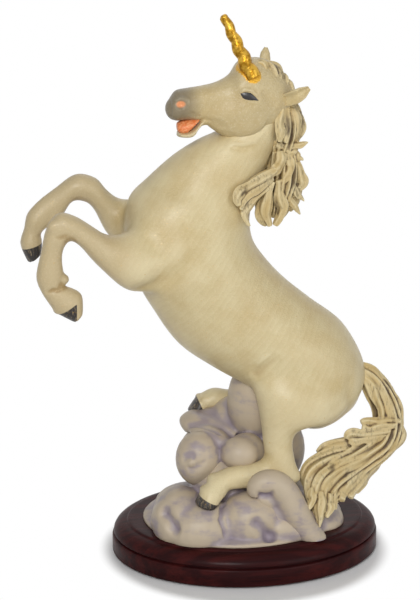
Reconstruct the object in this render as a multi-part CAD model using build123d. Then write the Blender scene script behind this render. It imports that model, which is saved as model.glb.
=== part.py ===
"""Carved wooden unicorn rearing on a bank of clouds, glued up from blocks and screwed to an oval plinth.

Millimetres, +Z up. The origin is the middle of the plinth's underside. The unicorn looks along -X.
The near side of the animal is -Y and the far side is +Y.
"""
import os
from math import cos, pi, sin, sqrt

from build123d import *

# Figure as a whole, above the plinth's top face
FIGURE_LENGTH = 172.0
FIGURE_HEIGHT = 226.0

# Oval plinth with a grooved, rounded edge
PLINTH_LENGTH = 120.0
PLINTH_WIDTH = 98.0
BAND_HEIGHT = 8.0
GROOVE_HEIGHT = 0.8
GROOVE_DEPTH = 1.8
MOULDING_HEIGHT = 5.0
MOULDING_INSET = 0.6
MOULDING_ROUNDING = 4.8
RIM_INSET = 7.0
RIM_HEIGHT = 1.0
FELT_THICKNESS = 1.0
FELT_INSET = 3.0

# Wood screws that hold the clouds to the plinth
SCREW_SPACING = 46.0
SCREW_DIAMETER = 4.0
SCREW_HEAD_DIAMETER = 8.0
SCREW_HEAD_HEIGHT = 2.4
SCREW_HEAD_EDGE = 0.4
SCREW_LENGTH = 22.0
SCREW_RECESS = 1.2
SCREW_CLEARANCE = 0.1

# Dowels and pins of the glue joints
NECK_DOWEL_DIAMETER = 10.0
NECK_DOWEL_LENGTH = 30.0
HEAD_DOWEL_DIAMETER = 6.0
HEAD_DOWEL_LENGTH = 18.0
LEG_DOWEL_DIAMETER = 6.0
LEG_DOWEL_LENGTH = 16.0
TAIL_DOWEL_DIAMETER = 4.0
TAIL_DOWEL_LENGTH = 10.0
CLOUD_DOWEL_DIAMETER = 6.0
CLOUD_DOWEL_LENGTH = 16.0
CLOUD_DOWEL_SPACING = 16.0
CLOUD_DOWEL_OFFSET = 12.0
CLOUD_DOWEL_SETBACK = 8.0
HOOF_PIN_DIAMETER = 2.5
HOOF_PIN_LENGTH = 14.0
GLUE_GAP = 0.1

# Trunk and neck
TRUNK_WIDTH = 50.0

# Head, jaw, ears and horn
HEAD_WIDTH = 25.0
HEAD_TURN = 9.0
JAW_WIDTH = 12.0
EAR_WIDTH = 6.0
EAR_SPREAD = 11.0
EAR_SCOOP = 2.4
HORN_LENGTH = 28.2
HORN_BASE_DIAMETER = 7.6
HORN_TIP_DIAMETER = 3.0
HORN_TURNS = 4
HORN_THROW = 0.9
HORN_COLLAR_DIAMETER = 10.4
HORN_COLLAR_HEIGHT = 2.4
HORN_TENON_DIAMETER = 4.0
HORN_TENON_LENGTH = 7.0
HORN_LEAN_DEGREES = 23.0

# Legs
FORELEG_SPREAD = 17.0
FORELEG_WIDTH = 19.0
HIND_LEG_SPREAD = 20.0
HIND_LEG_WIDTH = 26.0

# Mane and tail
MANE_WIDTH = 20.0
FORELOCK_WIDTH = 15.0
LOCK_DIAMETER = 6.4
LOCK_SPREAD = 19.0
TAIL_WIDTH = 15.0
TAIL_SWEEP = 36.0

# Clouds
MOUND_LENGTH = 96.0
MOUND_WIDTH = 80.0
MOUND_HEIGHT = 20.0
MOUND_OFFSET = 4.0
RIBBON_WIDTH = 17.0
RIBBON_THICKNESS = 7.6
RIBBON_DEPTH = 10.0
SCROLL_WIDTH = 11.4
SCROLL_THICKNESS = 11.0
SCROLL_DEPTH = 31.0

# Facets of the carved forms
BODY_SIDES = 18
LIMB_SIDES = 12
CURL_SIDES = 8
FOOT_SIDES = 36
BILLOW_SIDES = 10
SCREW_SIDES = 12
COLLAR_SIDES = 12
HORN_STEPS_PER_TURN = 6
PEG_SIDES = 10
MOULDING_FLATS = 2
MANE_RIDGES = 7
TAIL_RIDGES = 8
RIDGE_DEPTH_SHARE = 0.16
EAR_HOLLOW_SHARE = 0.62
BILLOW_LEVEL_SHARES = (-0.96, -0.7, -0.25, 0.25, 0.7, 0.96)

PLINTH_TOP = FELT_THICKNESS + BAND_HEIGHT + GROOVE_HEIGHT + MOULDING_HEIGHT + RIM_HEIGHT
SIDEWAYS = Vector(0, 1, 0)

# Profile stations, from the rump over the shoulder to the poll.
# Each is front x, front z, back x, back z as shares of the figure, then width as a share of the trunk's.
TRUNK_SHARES = (
    (0.250, 0.200, 0.298, 0.240, 0.30),
    (0.155, 0.178, 0.310, 0.305, 0.80),
    (0.035, 0.255, 0.255, 0.387, 1.00),
    (-0.085, 0.313, 0.170, 0.440, 0.98),
    (-0.176, 0.365, 0.098, 0.486, 0.98),
    (-0.237, 0.432, 0.050, 0.526, 1.00),
    (-0.277, 0.490, 0.017, 0.563, 1.00),
    (-0.311, 0.578, 0.006, 0.600, 0.95),
    (-0.303, 0.650, 0.010, 0.630, 0.84),
    (-0.254, 0.689, 0.020, 0.656, 0.72),
    (-0.189, 0.732, 0.040, 0.691, 0.61),
    (-0.126, 0.761, 0.064, 0.738, 0.52),
    (-0.073, 0.777, 0.084, 0.788, 0.46),
    (-0.017, 0.806, 0.094, 0.837, 0.40),
)
# The neck is glued to the torso at this station of the trunk.
NECK_JOINT = 8

# Leg stations: front x, front z, back x, back z, then shares of the leg's spread and width.
NEAR_FORELEG_SHARES = (
    (-0.200, 0.600, -0.185, 0.510, 0.50, 0.75),
    (-0.284, 0.610, -0.241, 0.492, 0.85, 1.00),
    (-0.354, 0.602, -0.316, 0.492, 1.00, 0.95),
    (-0.403, 0.623, -0.392, 0.546, 1.00, 0.75),
    (-0.444, 0.643, -0.428, 0.581, 1.00, 0.62),
    (-0.485, 0.650, -0.452, 0.596, 1.00, 0.58),
    (-0.515, 0.621, -0.467, 0.590, 1.00, 0.52),
    (-0.529, 0.577, -0.477, 0.568, 1.00, 0.45),
    (-0.542, 0.532, -0.474, 0.531, 1.00, 0.52),
    (-0.533, 0.504, -0.476, 0.512, 1.00, 0.45),
    (-0.512, 0.476, -0.454, 0.505, 1.00, 0.50),
    (-0.493, 0.458, -0.430, 0.491, 1.00, 0.58),
    (-0.451, 0.439, -0.428, 0.457, 1.00, 0.50),
)
FAR_FORELEG_SHARES = (
    (-0.200, 0.640, -0.205, 0.545, 0.50, 0.75),
    (-0.260, 0.635, -0.290, 0.545, 0.85, 0.95),
    (-0.302, 0.632, -0.339, 0.560, 1.00, 0.80),
    (-0.340, 0.655, -0.371, 0.613, 1.00, 0.64),
    (-0.368, 0.680, -0.394, 0.633, 1.00, 0.60),
    (-0.418, 0.689, -0.429, 0.636, 1.00, 0.58),
    (-0.472, 0.663, -0.460, 0.620, 1.00, 0.50),
    (-0.515, 0.639, -0.486, 0.603, 1.00, 0.46),
    (-0.544, 0.614, -0.507, 0.585, 1.00, 0.50),
    (-0.552, 0.587, -0.510, 0.572, 1.00, 0.44),
    (-0.563, 0.556, -0.507, 0.562, 1.00, 0.54),
    (-0.544, 0.517, -0.508, 0.536, 1.00, 0.48),
)
NEAR_HIND_LEG_SHARES = (
    (0.070, 0.375, 0.235, 0.335, 0.45, 0.50),
    (-0.003, 0.315, 0.255, 0.265, 0.80, 0.92),
    (0.005, 0.270, 0.210, 0.220, 0.92, 1.00),
    (0.015, 0.227, 0.119, 0.206, 1.00, 0.72),
    (0.021, 0.186, 0.099, 0.180, 1.05, 0.50),
    (0.024, 0.153, 0.105, 0.141, 1.08, 0.46),
    (-0.010, 0.140, 0.113, 0.099, 1.10, 0.44),
    (-0.053, 0.139, -0.024, 0.094, 1.12, 0.38),
    (-0.091, 0.132, -0.066, 0.094, 1.15, 0.40),
    (-0.120, 0.120, -0.080, 0.086, 1.28, 0.36),
    (-0.142, 0.101, -0.091, 0.082, 1.34, 0.44),
    (-0.161, 0.076, -0.107, 0.065, 1.36, 0.50),
)
FAR_HIND_LEG_SHARES = (
    (0.070, 0.375, 0.235, 0.335, 0.45, 0.50),
    (-0.020, 0.325, 0.250, 0.270, 0.80, 0.90),
    (-0.010, 0.290, 0.225, 0.230, 0.92, 0.92),
    (0.045, 0.260, 0.190, 0.205, 1.00, 0.66),
    (0.070, 0.238, 0.170, 0.180, 1.00, 0.48),
    (0.045, 0.232, 0.140, 0.160, 1.00, 0.44),
    (0.015, 0.234, 0.040, 0.180, 1.00, 0.38),
    (-0.024, 0.233, -0.022, 0.194, 1.00, 0.38),
    (-0.062, 0.238, -0.058, 0.200, 1.00, 0.40),
    (-0.105, 0.222, -0.084, 0.196, 1.00, 0.38),
    (-0.122, 0.206, -0.088, 0.191, 1.00, 0.44),
    (-0.134, 0.191, -0.092, 0.186, 1.00, 0.50),
)

# Head stations: top x, top z, bottom x, bottom z, then shares of the head's turn and width.
HEAD_SHARES = (
    (0.100, 0.868, 0.088, 0.807, 0.00, 0.60),
    (0.062, 0.898, 0.063, 0.790, 0.10, 0.92),
    (0.002, 0.900, 0.008, 0.770, 0.35, 1.00),
    (-0.043, 0.895, -0.053, 0.770, 0.52, 0.90),
    (-0.081, 0.879, -0.093, 0.790, 0.68, 0.70),
    (-0.118, 0.869, -0.121, 0.803, 0.80, 0.60),
    (-0.158, 0.863, -0.158, 0.807, 0.92, 0.58),
    (-0.186, 0.858, -0.184, 0.804, 1.00, 0.62),
    (-0.200, 0.845, -0.197, 0.815, 1.04, 0.42),
)
JAW_SHARES = (
    (-0.035, 0.812, -0.045, 0.774, 0.45, 1.30),
    (-0.104, 0.809, -0.109, 0.790, 0.75, 0.86),
    (-0.132, 0.803, -0.134, 0.786, 0.84, 0.80),
    (-0.154, 0.795, -0.149, 0.775, 0.92, 0.90),
    (-0.176, 0.794, -0.171, 0.779, 1.00, 0.70),
)

# Ear stations: front x, front z, back x, back z, then shares of the ear's spread and width.
NEAR_EAR_SHARES = (
    (0.055, 0.842, 0.070, 0.822, 0.60, 0.80),
    (0.078, 0.850, 0.093, 0.826, 1.10, 1.00),
    (0.105, 0.864, 0.121, 0.843, 1.25, 0.90),
    (0.134, 0.875, 0.142, 0.866, 1.30, 0.40),
)
FAR_EAR_SHARES = (
    (0.045, 0.870, 0.080, 0.865, 0.60, 0.80),
    (0.041, 0.893, 0.076, 0.888, 0.90, 1.00),
    (0.046, 0.911, 0.070, 0.909, 0.95, 0.85),
    (0.054, 0.928, 0.062, 0.928, 1.00, 0.40),
)
HORN_ROOT_SHARES = (-0.002, 0.885, 0.45)

# Mane stations: front x, front z, back x, back z, then width as a share of the mane's.
FORELOCK_SHARES = (
    (0.040, 0.910, 0.030, 0.885, 0.50),
    (0.065, 0.910, 0.055, 0.865, 1.00),
    (0.092, 0.893, 0.076, 0.850, 1.00),
    (0.113, 0.868, 0.100, 0.838, 0.60),
)
UPPER_MANE_SHARES = (
    (0.080, 0.850, 0.122, 0.848, 0.55),
    (0.072, 0.822, 0.133, 0.822, 0.90),
    (0.060, 0.788, 0.147, 0.790, 1.05),
    (0.050, 0.756, 0.156, 0.752, 1.10),
    (0.042, 0.731, 0.148, 0.728, 1.05),
)
LOWER_MANE_SHARES = (
    (0.042, 0.731, 0.148, 0.728, 1.05),
    (0.024, 0.698, 0.153, 0.684, 1.25),
    (0.006, 0.658, 0.150, 0.642, 1.35),
    (0.018, 0.620, 0.135, 0.610, 1.00),
    (0.045, 0.588, 0.098, 0.586, 0.50),
)
# Lock points: x, z, then shares of the lock's spread, width and thickness.
LOCK_SHARES = (
    (
        (0.050, 0.712, 0.50, 1.00, 1.00),
        (-0.006, 0.698, 0.92, 1.20, 1.20),
        (-0.042, 0.685, 1.02, 1.00, 1.00),
        (-0.055, 0.666, 1.05, 0.80, 0.80),
        (-0.043, 0.650, 1.05, 0.45, 0.45),
    ),
    (
        (0.045, 0.690, 0.55, 1.20, 1.20),
        (0.008, 0.669, 0.90, 1.20, 1.20),
        (-0.012, 0.645, 1.00, 1.00, 1.00),
        (-0.012, 0.622, 1.02, 0.80, 0.80),
        (-0.002, 0.606, 1.00, 0.45, 0.45),
    ),
)

# Tail stations: outer x, outer z, inner x, inner z, then shares of the tail's sweep and width.
TAIL_SHARES = (
    (0.278, 0.300, 0.272, 0.258, 0.00, 0.70),
    (0.319, 0.306, 0.307, 0.250, 0.00, 0.80),
    (0.365, 0.280, 0.326, 0.233, 0.06, 0.85),
    (0.399, 0.232, 0.325, 0.204, 0.14, 0.95),
    (0.415, 0.182, 0.299, 0.191, 0.22, 1.00),
    (0.406, 0.141, 0.250, 0.182, 0.31, 1.00),
    (0.367, 0.122, 0.201, 0.168, 0.39, 1.00),
    (0.322, 0.104, 0.154, 0.145, 0.50, 0.95),
    (0.276, 0.070, 0.122, 0.124, 0.64, 0.90),
    (0.243, 0.039, 0.116, 0.087, 0.78, 0.75),
    (0.219, 0.018, 0.127, 0.056, 0.88, 0.55),
    (0.195, 0.008, 0.150, 0.026, 0.96, 0.30),
)

# The mound's flat foot: height in shares of the mound's, then size.
FOOT_SHARES = (
    (0.00, 1.00),
    (0.05, 1.00),
    (0.08, 0.98),
    (0.13, 0.90),
    (0.25, 0.70),
)
# Billows: middle x, y, z, then half length, half width and half height.
# x follows the figure's length, z its height and y the mound's width.
MOUND_BILLOW_SHARES = (
    (0.018, 0.075, 0.000, 0.180, 0.350, 0.097),
    (-0.186, -0.200, 0.024, 0.075, 0.200, 0.068),
    (-0.136, -0.300, 0.020, 0.098, 0.165, 0.056),
    (-0.016, -0.325, 0.032, 0.085, 0.150, 0.058),
    (0.073, -0.300, 0.014, 0.099, 0.165, 0.046),
    (0.175, -0.130, 0.000, 0.074, 0.210, 0.036),
    (-0.070, -0.100, 0.085, 0.081, 0.165, 0.058),
    (-0.130, 0.120, 0.010, 0.100, 0.250, 0.036),
    (0.105, 0.180, 0.010, 0.120, 0.240, 0.050),
)
CREST_BILLOW_SHARES = (
    (0.022, 0.030, 0.231, 0.067, 0.150, 0.084),
    (0.076, 0.050, 0.128, 0.087, 0.175, 0.080),
    (-0.131, -0.100, 0.136, 0.060, 0.125, 0.055),
    (-0.029, -0.175, 0.151, 0.051, 0.100, 0.034),
    (-0.010, -0.135, 0.149, 0.052, 0.100, 0.037),
    (-0.078, 0.000, 0.125, 0.076, 0.175, 0.055),
    (0.035, 0.260, 0.112, 0.106, 0.190, 0.078),
    (-0.015, 0.150, 0.170, 0.070, 0.160, 0.060),
    (-0.050, 0.225, 0.098, 0.110, 0.190, 0.075),
)
# Ribbon points: x, z, then shares of the ribbons' depth, width and thickness.
RIBBON_SHARES = (
    (
        (-0.156, 0.172, 1.10, 0.40, 0.50),
        (-0.148, 0.176, 1.10, 0.75, 1.00),
        (-0.127, 0.187, 1.10, 1.00, 0.95),
        (-0.097, 0.188, 1.10, 1.04, 0.76),
        (-0.070, 0.184, 0.90, 1.00, 0.71),
        (-0.049, 0.180, 0.50, 0.82, 0.66),
        (-0.028, 0.172, 0.10, 0.58, 0.39),
    ),
    (
        (-0.144, 0.176, 0.20, 0.70, 0.34),
        (-0.124, 0.180, 0.10, 0.94, 0.55),
        (-0.097, 0.177, -0.10, 1.00, 0.79),
        (-0.075, 0.169, -0.40, 0.94, 0.95),
        (-0.062, 0.160, -0.70, 0.70, 0.92),
    ),
)
# Scroll points: x, z, then shares of the scroll's depth, width and thickness.
SCROLL_SHARES = (
    (0.149, 0.006, 1.10, 0.55, 0.27),
    (0.123, 0.024, 1.08, 0.75, 0.45),
    (0.102, 0.048, 1.05, 0.90, 0.58),
    (0.085, 0.072, 1.02, 1.00, 0.79),
    (0.067, 0.093, 1.00, 1.05, 0.96),
    (0.046, 0.110, 1.00, 1.05, 1.02),
    (0.026, 0.117, 1.00, 1.00, 0.98),
    (0.005, 0.115, 1.00, 0.90, 0.87),
    (-0.009, 0.106, 1.00, 0.80, 0.73),
    (-0.012, 0.091, 1.00, 0.55, 0.45),
)


def spot(x_share, z_share, y=0.0):
    """A point of the figure from its shares of length and height."""
    return Vector(x_share * FIGURE_LENGTH, y, PLINTH_TOP + z_share * FIGURE_HEIGHT)


def ring(front, back, width, sides, ridge_depth_share=0.0):
    """Corners of a section through a front and a back point, every second one drawn in to leave ridges."""
    reach = back - front
    plane = Plane(origin=(front + back) / 2, x_dir=reach, z_dir=reach.cross(SIDEWAYS))
    corners = []
    for k in range(sides):
        turn = 2 * pi * k / sides
        swell = 1 - ridge_depth_share * (k % 2)
        x = swell * cos(turn) * reach.length / 2
        y = swell * sin(turn) * width / 2
        corners.append(plane.from_local_coords((x, y)))
    return corners


def facet(*corners):
    """One flat face."""
    return Face(Wire.make_polygon(corners, close=True))


def carved(rings):
    """A solid with flat facets through rings of corners."""
    facets = [facet(*rings[0]), facet(*rings[-1])]
    for low, high in zip(rings, rings[1:]):
        for k in range(len(low)):
            a, b, c, d = low[k - 1], low[k], high[k], high[k - 1]
            if (a - c).length < (b - d).length:
                facets += [facet(a, b, c), facet(a, c, d)]
            else:
                facets += [facet(a, b, d), facet(b, c, d)]
    return Solid(Shell(facets))


def smoothed(stations):
    """The stations with a rounded midpoint added between each two."""
    rows = [stations[0]]
    for k in range(len(stations) - 1):
        here, after = stations[k], stations[k + 1]
        before = stations[k - 1] if k else here
        beyond = stations[k + 2] if k + 2 < len(stations) else after
        columns = zip(before, here, after, beyond)
        rows.append(tuple((9 * (b + c) - a - d) / 16 for a, b, c, d in columns))
        rows.append(after)
    return rows


def centred(stations):
    """Stations on the middle plane, from rows that give no spread."""
    return [(*station[:4], 0, station[4]) for station in stations]


def limb(stations, spread, width, sides=LIMB_SIDES, ridge_depth_share=0.0):
    """A limb through stations of front x, front z, back x, back z, spread share and width share."""
    rings = []
    for front_x, front_z, back_x, back_z, spread_share, width_share in stations:
        y = spread * spread_share
        front, back = spot(front_x, front_z, y), spot(back_x, back_z, y)
        rings.append(ring(front, back, width * width_share, sides, ridge_depth_share))
    return carved(rings)


def tendril(stations, depth, width, thickness):
    """A curling band through points of x, z, depth share, width share and thickness share."""
    points = [spot(x_share, z_share, depth * depth_share) for x_share, z_share, depth_share, *_ in stations]
    rings = []
    for k, (*_, width_share, thickness_share) in enumerate(stations):
        before = points[max(k - 1, 0)]
        after = points[min(k + 1, len(points) - 1)]
        across = (after - before).cross(SIDEWAYS).normalized() * (thickness * thickness_share / 2)
        rings.append(ring(points[k] - across, points[k] + across, width * width_share, CURL_SIDES))
    return carved(rings)


def middle(station, spread=0.0):
    """The middle of a limb's section."""
    front_x, front_z, back_x, back_z, spread_share, _ = station
    y = spread * spread_share
    return (spot(front_x, front_z, y) + spot(back_x, back_z, y)) / 2


def without(shape, *others):
    """The largest solid that is left when the other pieces are cut away, without crumbs."""
    return max((shape - list(others)).solids(), key=lambda solid: solid.volume)


class Peg:
    """A whittled peg across a glue joint."""

    def __init__(self, joint, direction, diameter, length):
        self.plane = Plane(origin=joint, z_dir=direction)
        self.diameter = diameter
        self.length = length

    def solid(self, gap=0.0):
        """The peg, or with a gap the hole that it is glued into."""
        section = self.plane * RegularPolygon(self.diameter / 2 + gap, PEG_SIDES)
        return extrude(section, self.length / 2 + gap, both=True)


def bored(shape, *pegs):
    """The shape with the pegs' holes."""
    return without(shape, *[peg.solid(GLUE_GAP) for peg in pegs])


def oval(inset, bottom, top):
    """An upright oval slab that follows the plinth's outline."""
    outline = Ellipse(PLINTH_LENGTH / 2 - inset, PLINTH_WIDTH / 2 - inset)
    return Pos(0, 0, bottom) * extrude(outline, top - bottom)


def ovolo(inset, bottom, top, radius):
    """An oval slab whose upper edge is rounded off in flats."""
    wires = [oval_wire(inset, bottom)]
    for k in range(MOULDING_FLATS + 1):
        turn = pi / 2 * k / MOULDING_FLATS
        wires.append(oval_wire(inset + radius * (1 - cos(turn)), top - radius * (1 - sin(turn))))
    return Solid.make_loft(wires, ruled=True)


def oval_wire(inset, height):
    """The plinth's outline, drawn in and raised."""
    plane = Plane(origin=(0, 0, height))
    return Wire([Edge.make_ellipse(PLINTH_LENGTH / 2 - inset, PLINTH_WIDTH / 2 - inset, plane)])


def turned(profile, sides):
    """An upright faceted turning through pairs of radius and height."""
    rings = []
    for radius, height in profile:
        half = Vector(radius, 0, 0)
        level = Vector(0, 0, height)
        rings.append(ring(level - half, level + half, 2 * radius, sides))
    return carved(rings)


def screw_solid(gap=0.0, recess=0.0):
    """A countersunk wood screw that points up from its head, or the room that it needs."""
    head = SCREW_HEAD_DIAMETER / 2 + gap
    shank = SCREW_DIAMETER / 2 + gap
    profile = (
        (head, -recess),
        (head, SCREW_HEAD_EDGE),
        (shank, SCREW_HEAD_HEIGHT),
        (shank, SCREW_LENGTH + gap),
    )
    return turned(profile, SCREW_SIDES)


def screw_places():
    """Where the two screw heads sit, recessed above the felt."""
    bottom = FELT_THICKNESS + SCREW_RECESS
    return [Pos(side * SCREW_SPACING / 2 - MOUND_OFFSET, 0, bottom) for side in (-1, 1)]


def make_plinth():
    """Band, groove, rounded moulding and a thin rim, with two countersunk screw holes."""
    groove_bottom = FELT_THICKNESS + BAND_HEIGHT
    moulding_bottom = groove_bottom + GROOVE_HEIGHT
    rim_bottom = moulding_bottom + MOULDING_HEIGHT
    plinth = oval(0, FELT_THICKNESS, groove_bottom)
    plinth += oval(GROOVE_DEPTH, groove_bottom, moulding_bottom)
    plinth += ovolo(MOULDING_INSET, moulding_bottom, rim_bottom, MOULDING_ROUNDING)
    plinth += oval(RIM_INSET, rim_bottom, PLINTH_TOP)
    holes = [place * screw_solid(SCREW_CLEARANCE, SCREW_RECESS) for place in screw_places()]
    return without(plinth, *holes)


def billow(x_share, y_share, z_share, length_share, width_share, height_share):
    """One rounded swell of cloud, carved through level ovals."""
    centre = spot(x_share, z_share, y_share * MOUND_WIDTH)
    rings = []
    for level_share in BILLOW_LEVEL_SHARES:
        swell = sqrt(1 - level_share**2)
        level = centre + Vector(0, 0, level_share * height_share * FIGURE_HEIGHT)
        half = Vector(swell * length_share * FIGURE_LENGTH, 0, 0)
        rings.append(ring(level - half, level + half, 2 * swell * width_share * MOUND_WIDTH, BILLOW_SIDES))
    return carved(rings)


def plinth_room():
    """The space below the plinth's top face."""
    return Pos(0, 0, PLINTH_TOP / 2) * Box(PLINTH_LENGTH, PLINTH_WIDTH, PLINTH_TOP)


def make_mound():
    """The low bank of cloud that carries everything, on a thin flat foot."""
    rings = []
    for height_share, size_share in FOOT_SHARES:
        level = Vector(-MOUND_OFFSET, 0, PLINTH_TOP + height_share * MOUND_HEIGHT)
        half = Vector(size_share * MOUND_LENGTH / 2, 0, 0)
        rings.append(ring(level - half, level + half, size_share * MOUND_WIDTH, FOOT_SIDES))
    mound = carved(rings)
    for shares in MOUND_BILLOW_SHARES:
        mound += billow(*shares)
    screws = [place * screw_solid(SCREW_CLEARANCE) for place in screw_places()]
    return without(mound, plinth_room(), *screws)


def make_crest():
    """The tall billows behind the near hind leg, which reach up to the belly, and two ribbons of cloud."""
    crest = billow(*CREST_BILLOW_SHARES[0])
    for shares in CREST_BILLOW_SHARES[1:]:
        crest += billow(*shares)
    for stations in RIBBON_SHARES:
        crest += tendril(stations, RIBBON_DEPTH, RIBBON_WIDTH, RIBBON_THICKNESS)
    return crest


def horn_place():
    """The horn's root on the forehead, with Z along the horn."""
    x_share, z_share, turn_share = HORN_ROOT_SHARES
    return Pos(*spot(x_share, z_share, -HEAD_TURN * turn_share)) * Rot(0, -HORN_LEAN_DEGREES, 0)


def horn_foot(gap=0.0):
    """The collar and the tenon under it, or the room that they need in the forehead."""
    collar = HORN_COLLAR_DIAMETER / 2 + gap
    tenon = HORN_TENON_DIAMETER / 2 + gap
    half_height = HORN_COLLAR_HEIGHT / 2 + gap
    profile = (
        (tenon, -HORN_TENON_LENGTH - gap),
        (tenon, -half_height),
        (collar, -half_height),
        (collar, half_height),
    )
    return turned(profile, COLLAR_SIDES)


def make_horn():
    """A twisted, tapering horn on its collar and tenon."""
    steps = HORN_TURNS * HORN_STEPS_PER_TURN
    rings = []
    for k in range(steps + 1):
        share = k / steps
        diameter = HORN_BASE_DIAMETER + (HORN_TIP_DIAMETER - HORN_BASE_DIAMETER) * share
        throw = HORN_THROW * diameter / HORN_BASE_DIAMETER
        turn = 2 * pi * k / HORN_STEPS_PER_TURN
        centre = Vector(throw * cos(turn), throw * sin(turn), share * HORN_LENGTH)
        half = Vector(diameter / 2, 0, 0)
        rings.append(ring(centre - half, centre + half, diameter, CURL_SIDES))
    return horn_place() * (carved(rings) + horn_foot())


def make_ear(stations, side):
    """A pointed ear with a scooped outer face."""
    spread = side * EAR_SPREAD
    hollow = []
    for front_x, front_z, back_x, back_z, spread_share, width_share in stations:
        keep = (1 + EAR_HOLLOW_SHARE) / 2
        hollow.append((
            keep * front_x + (1 - keep) * back_x,
            keep * front_z + (1 - keep) * back_z,
            keep * back_x + (1 - keep) * front_x,
            keep * back_z + (1 - keep) * front_z,
            spread_share + EAR_SCOOP / EAR_SPREAD,
            width_share * EAR_HOLLOW_SHARE,
        ))
    return limb(stations, spread, EAR_WIDTH) - limb(hollow, spread, EAR_WIDTH)


def save(name, *solids):
    """Writes one node, with all the solids that share it."""
    export_step(Compound(list(solids)) if len(solids) > 1 else solids[0], f"parts/{name}.step")


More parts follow.
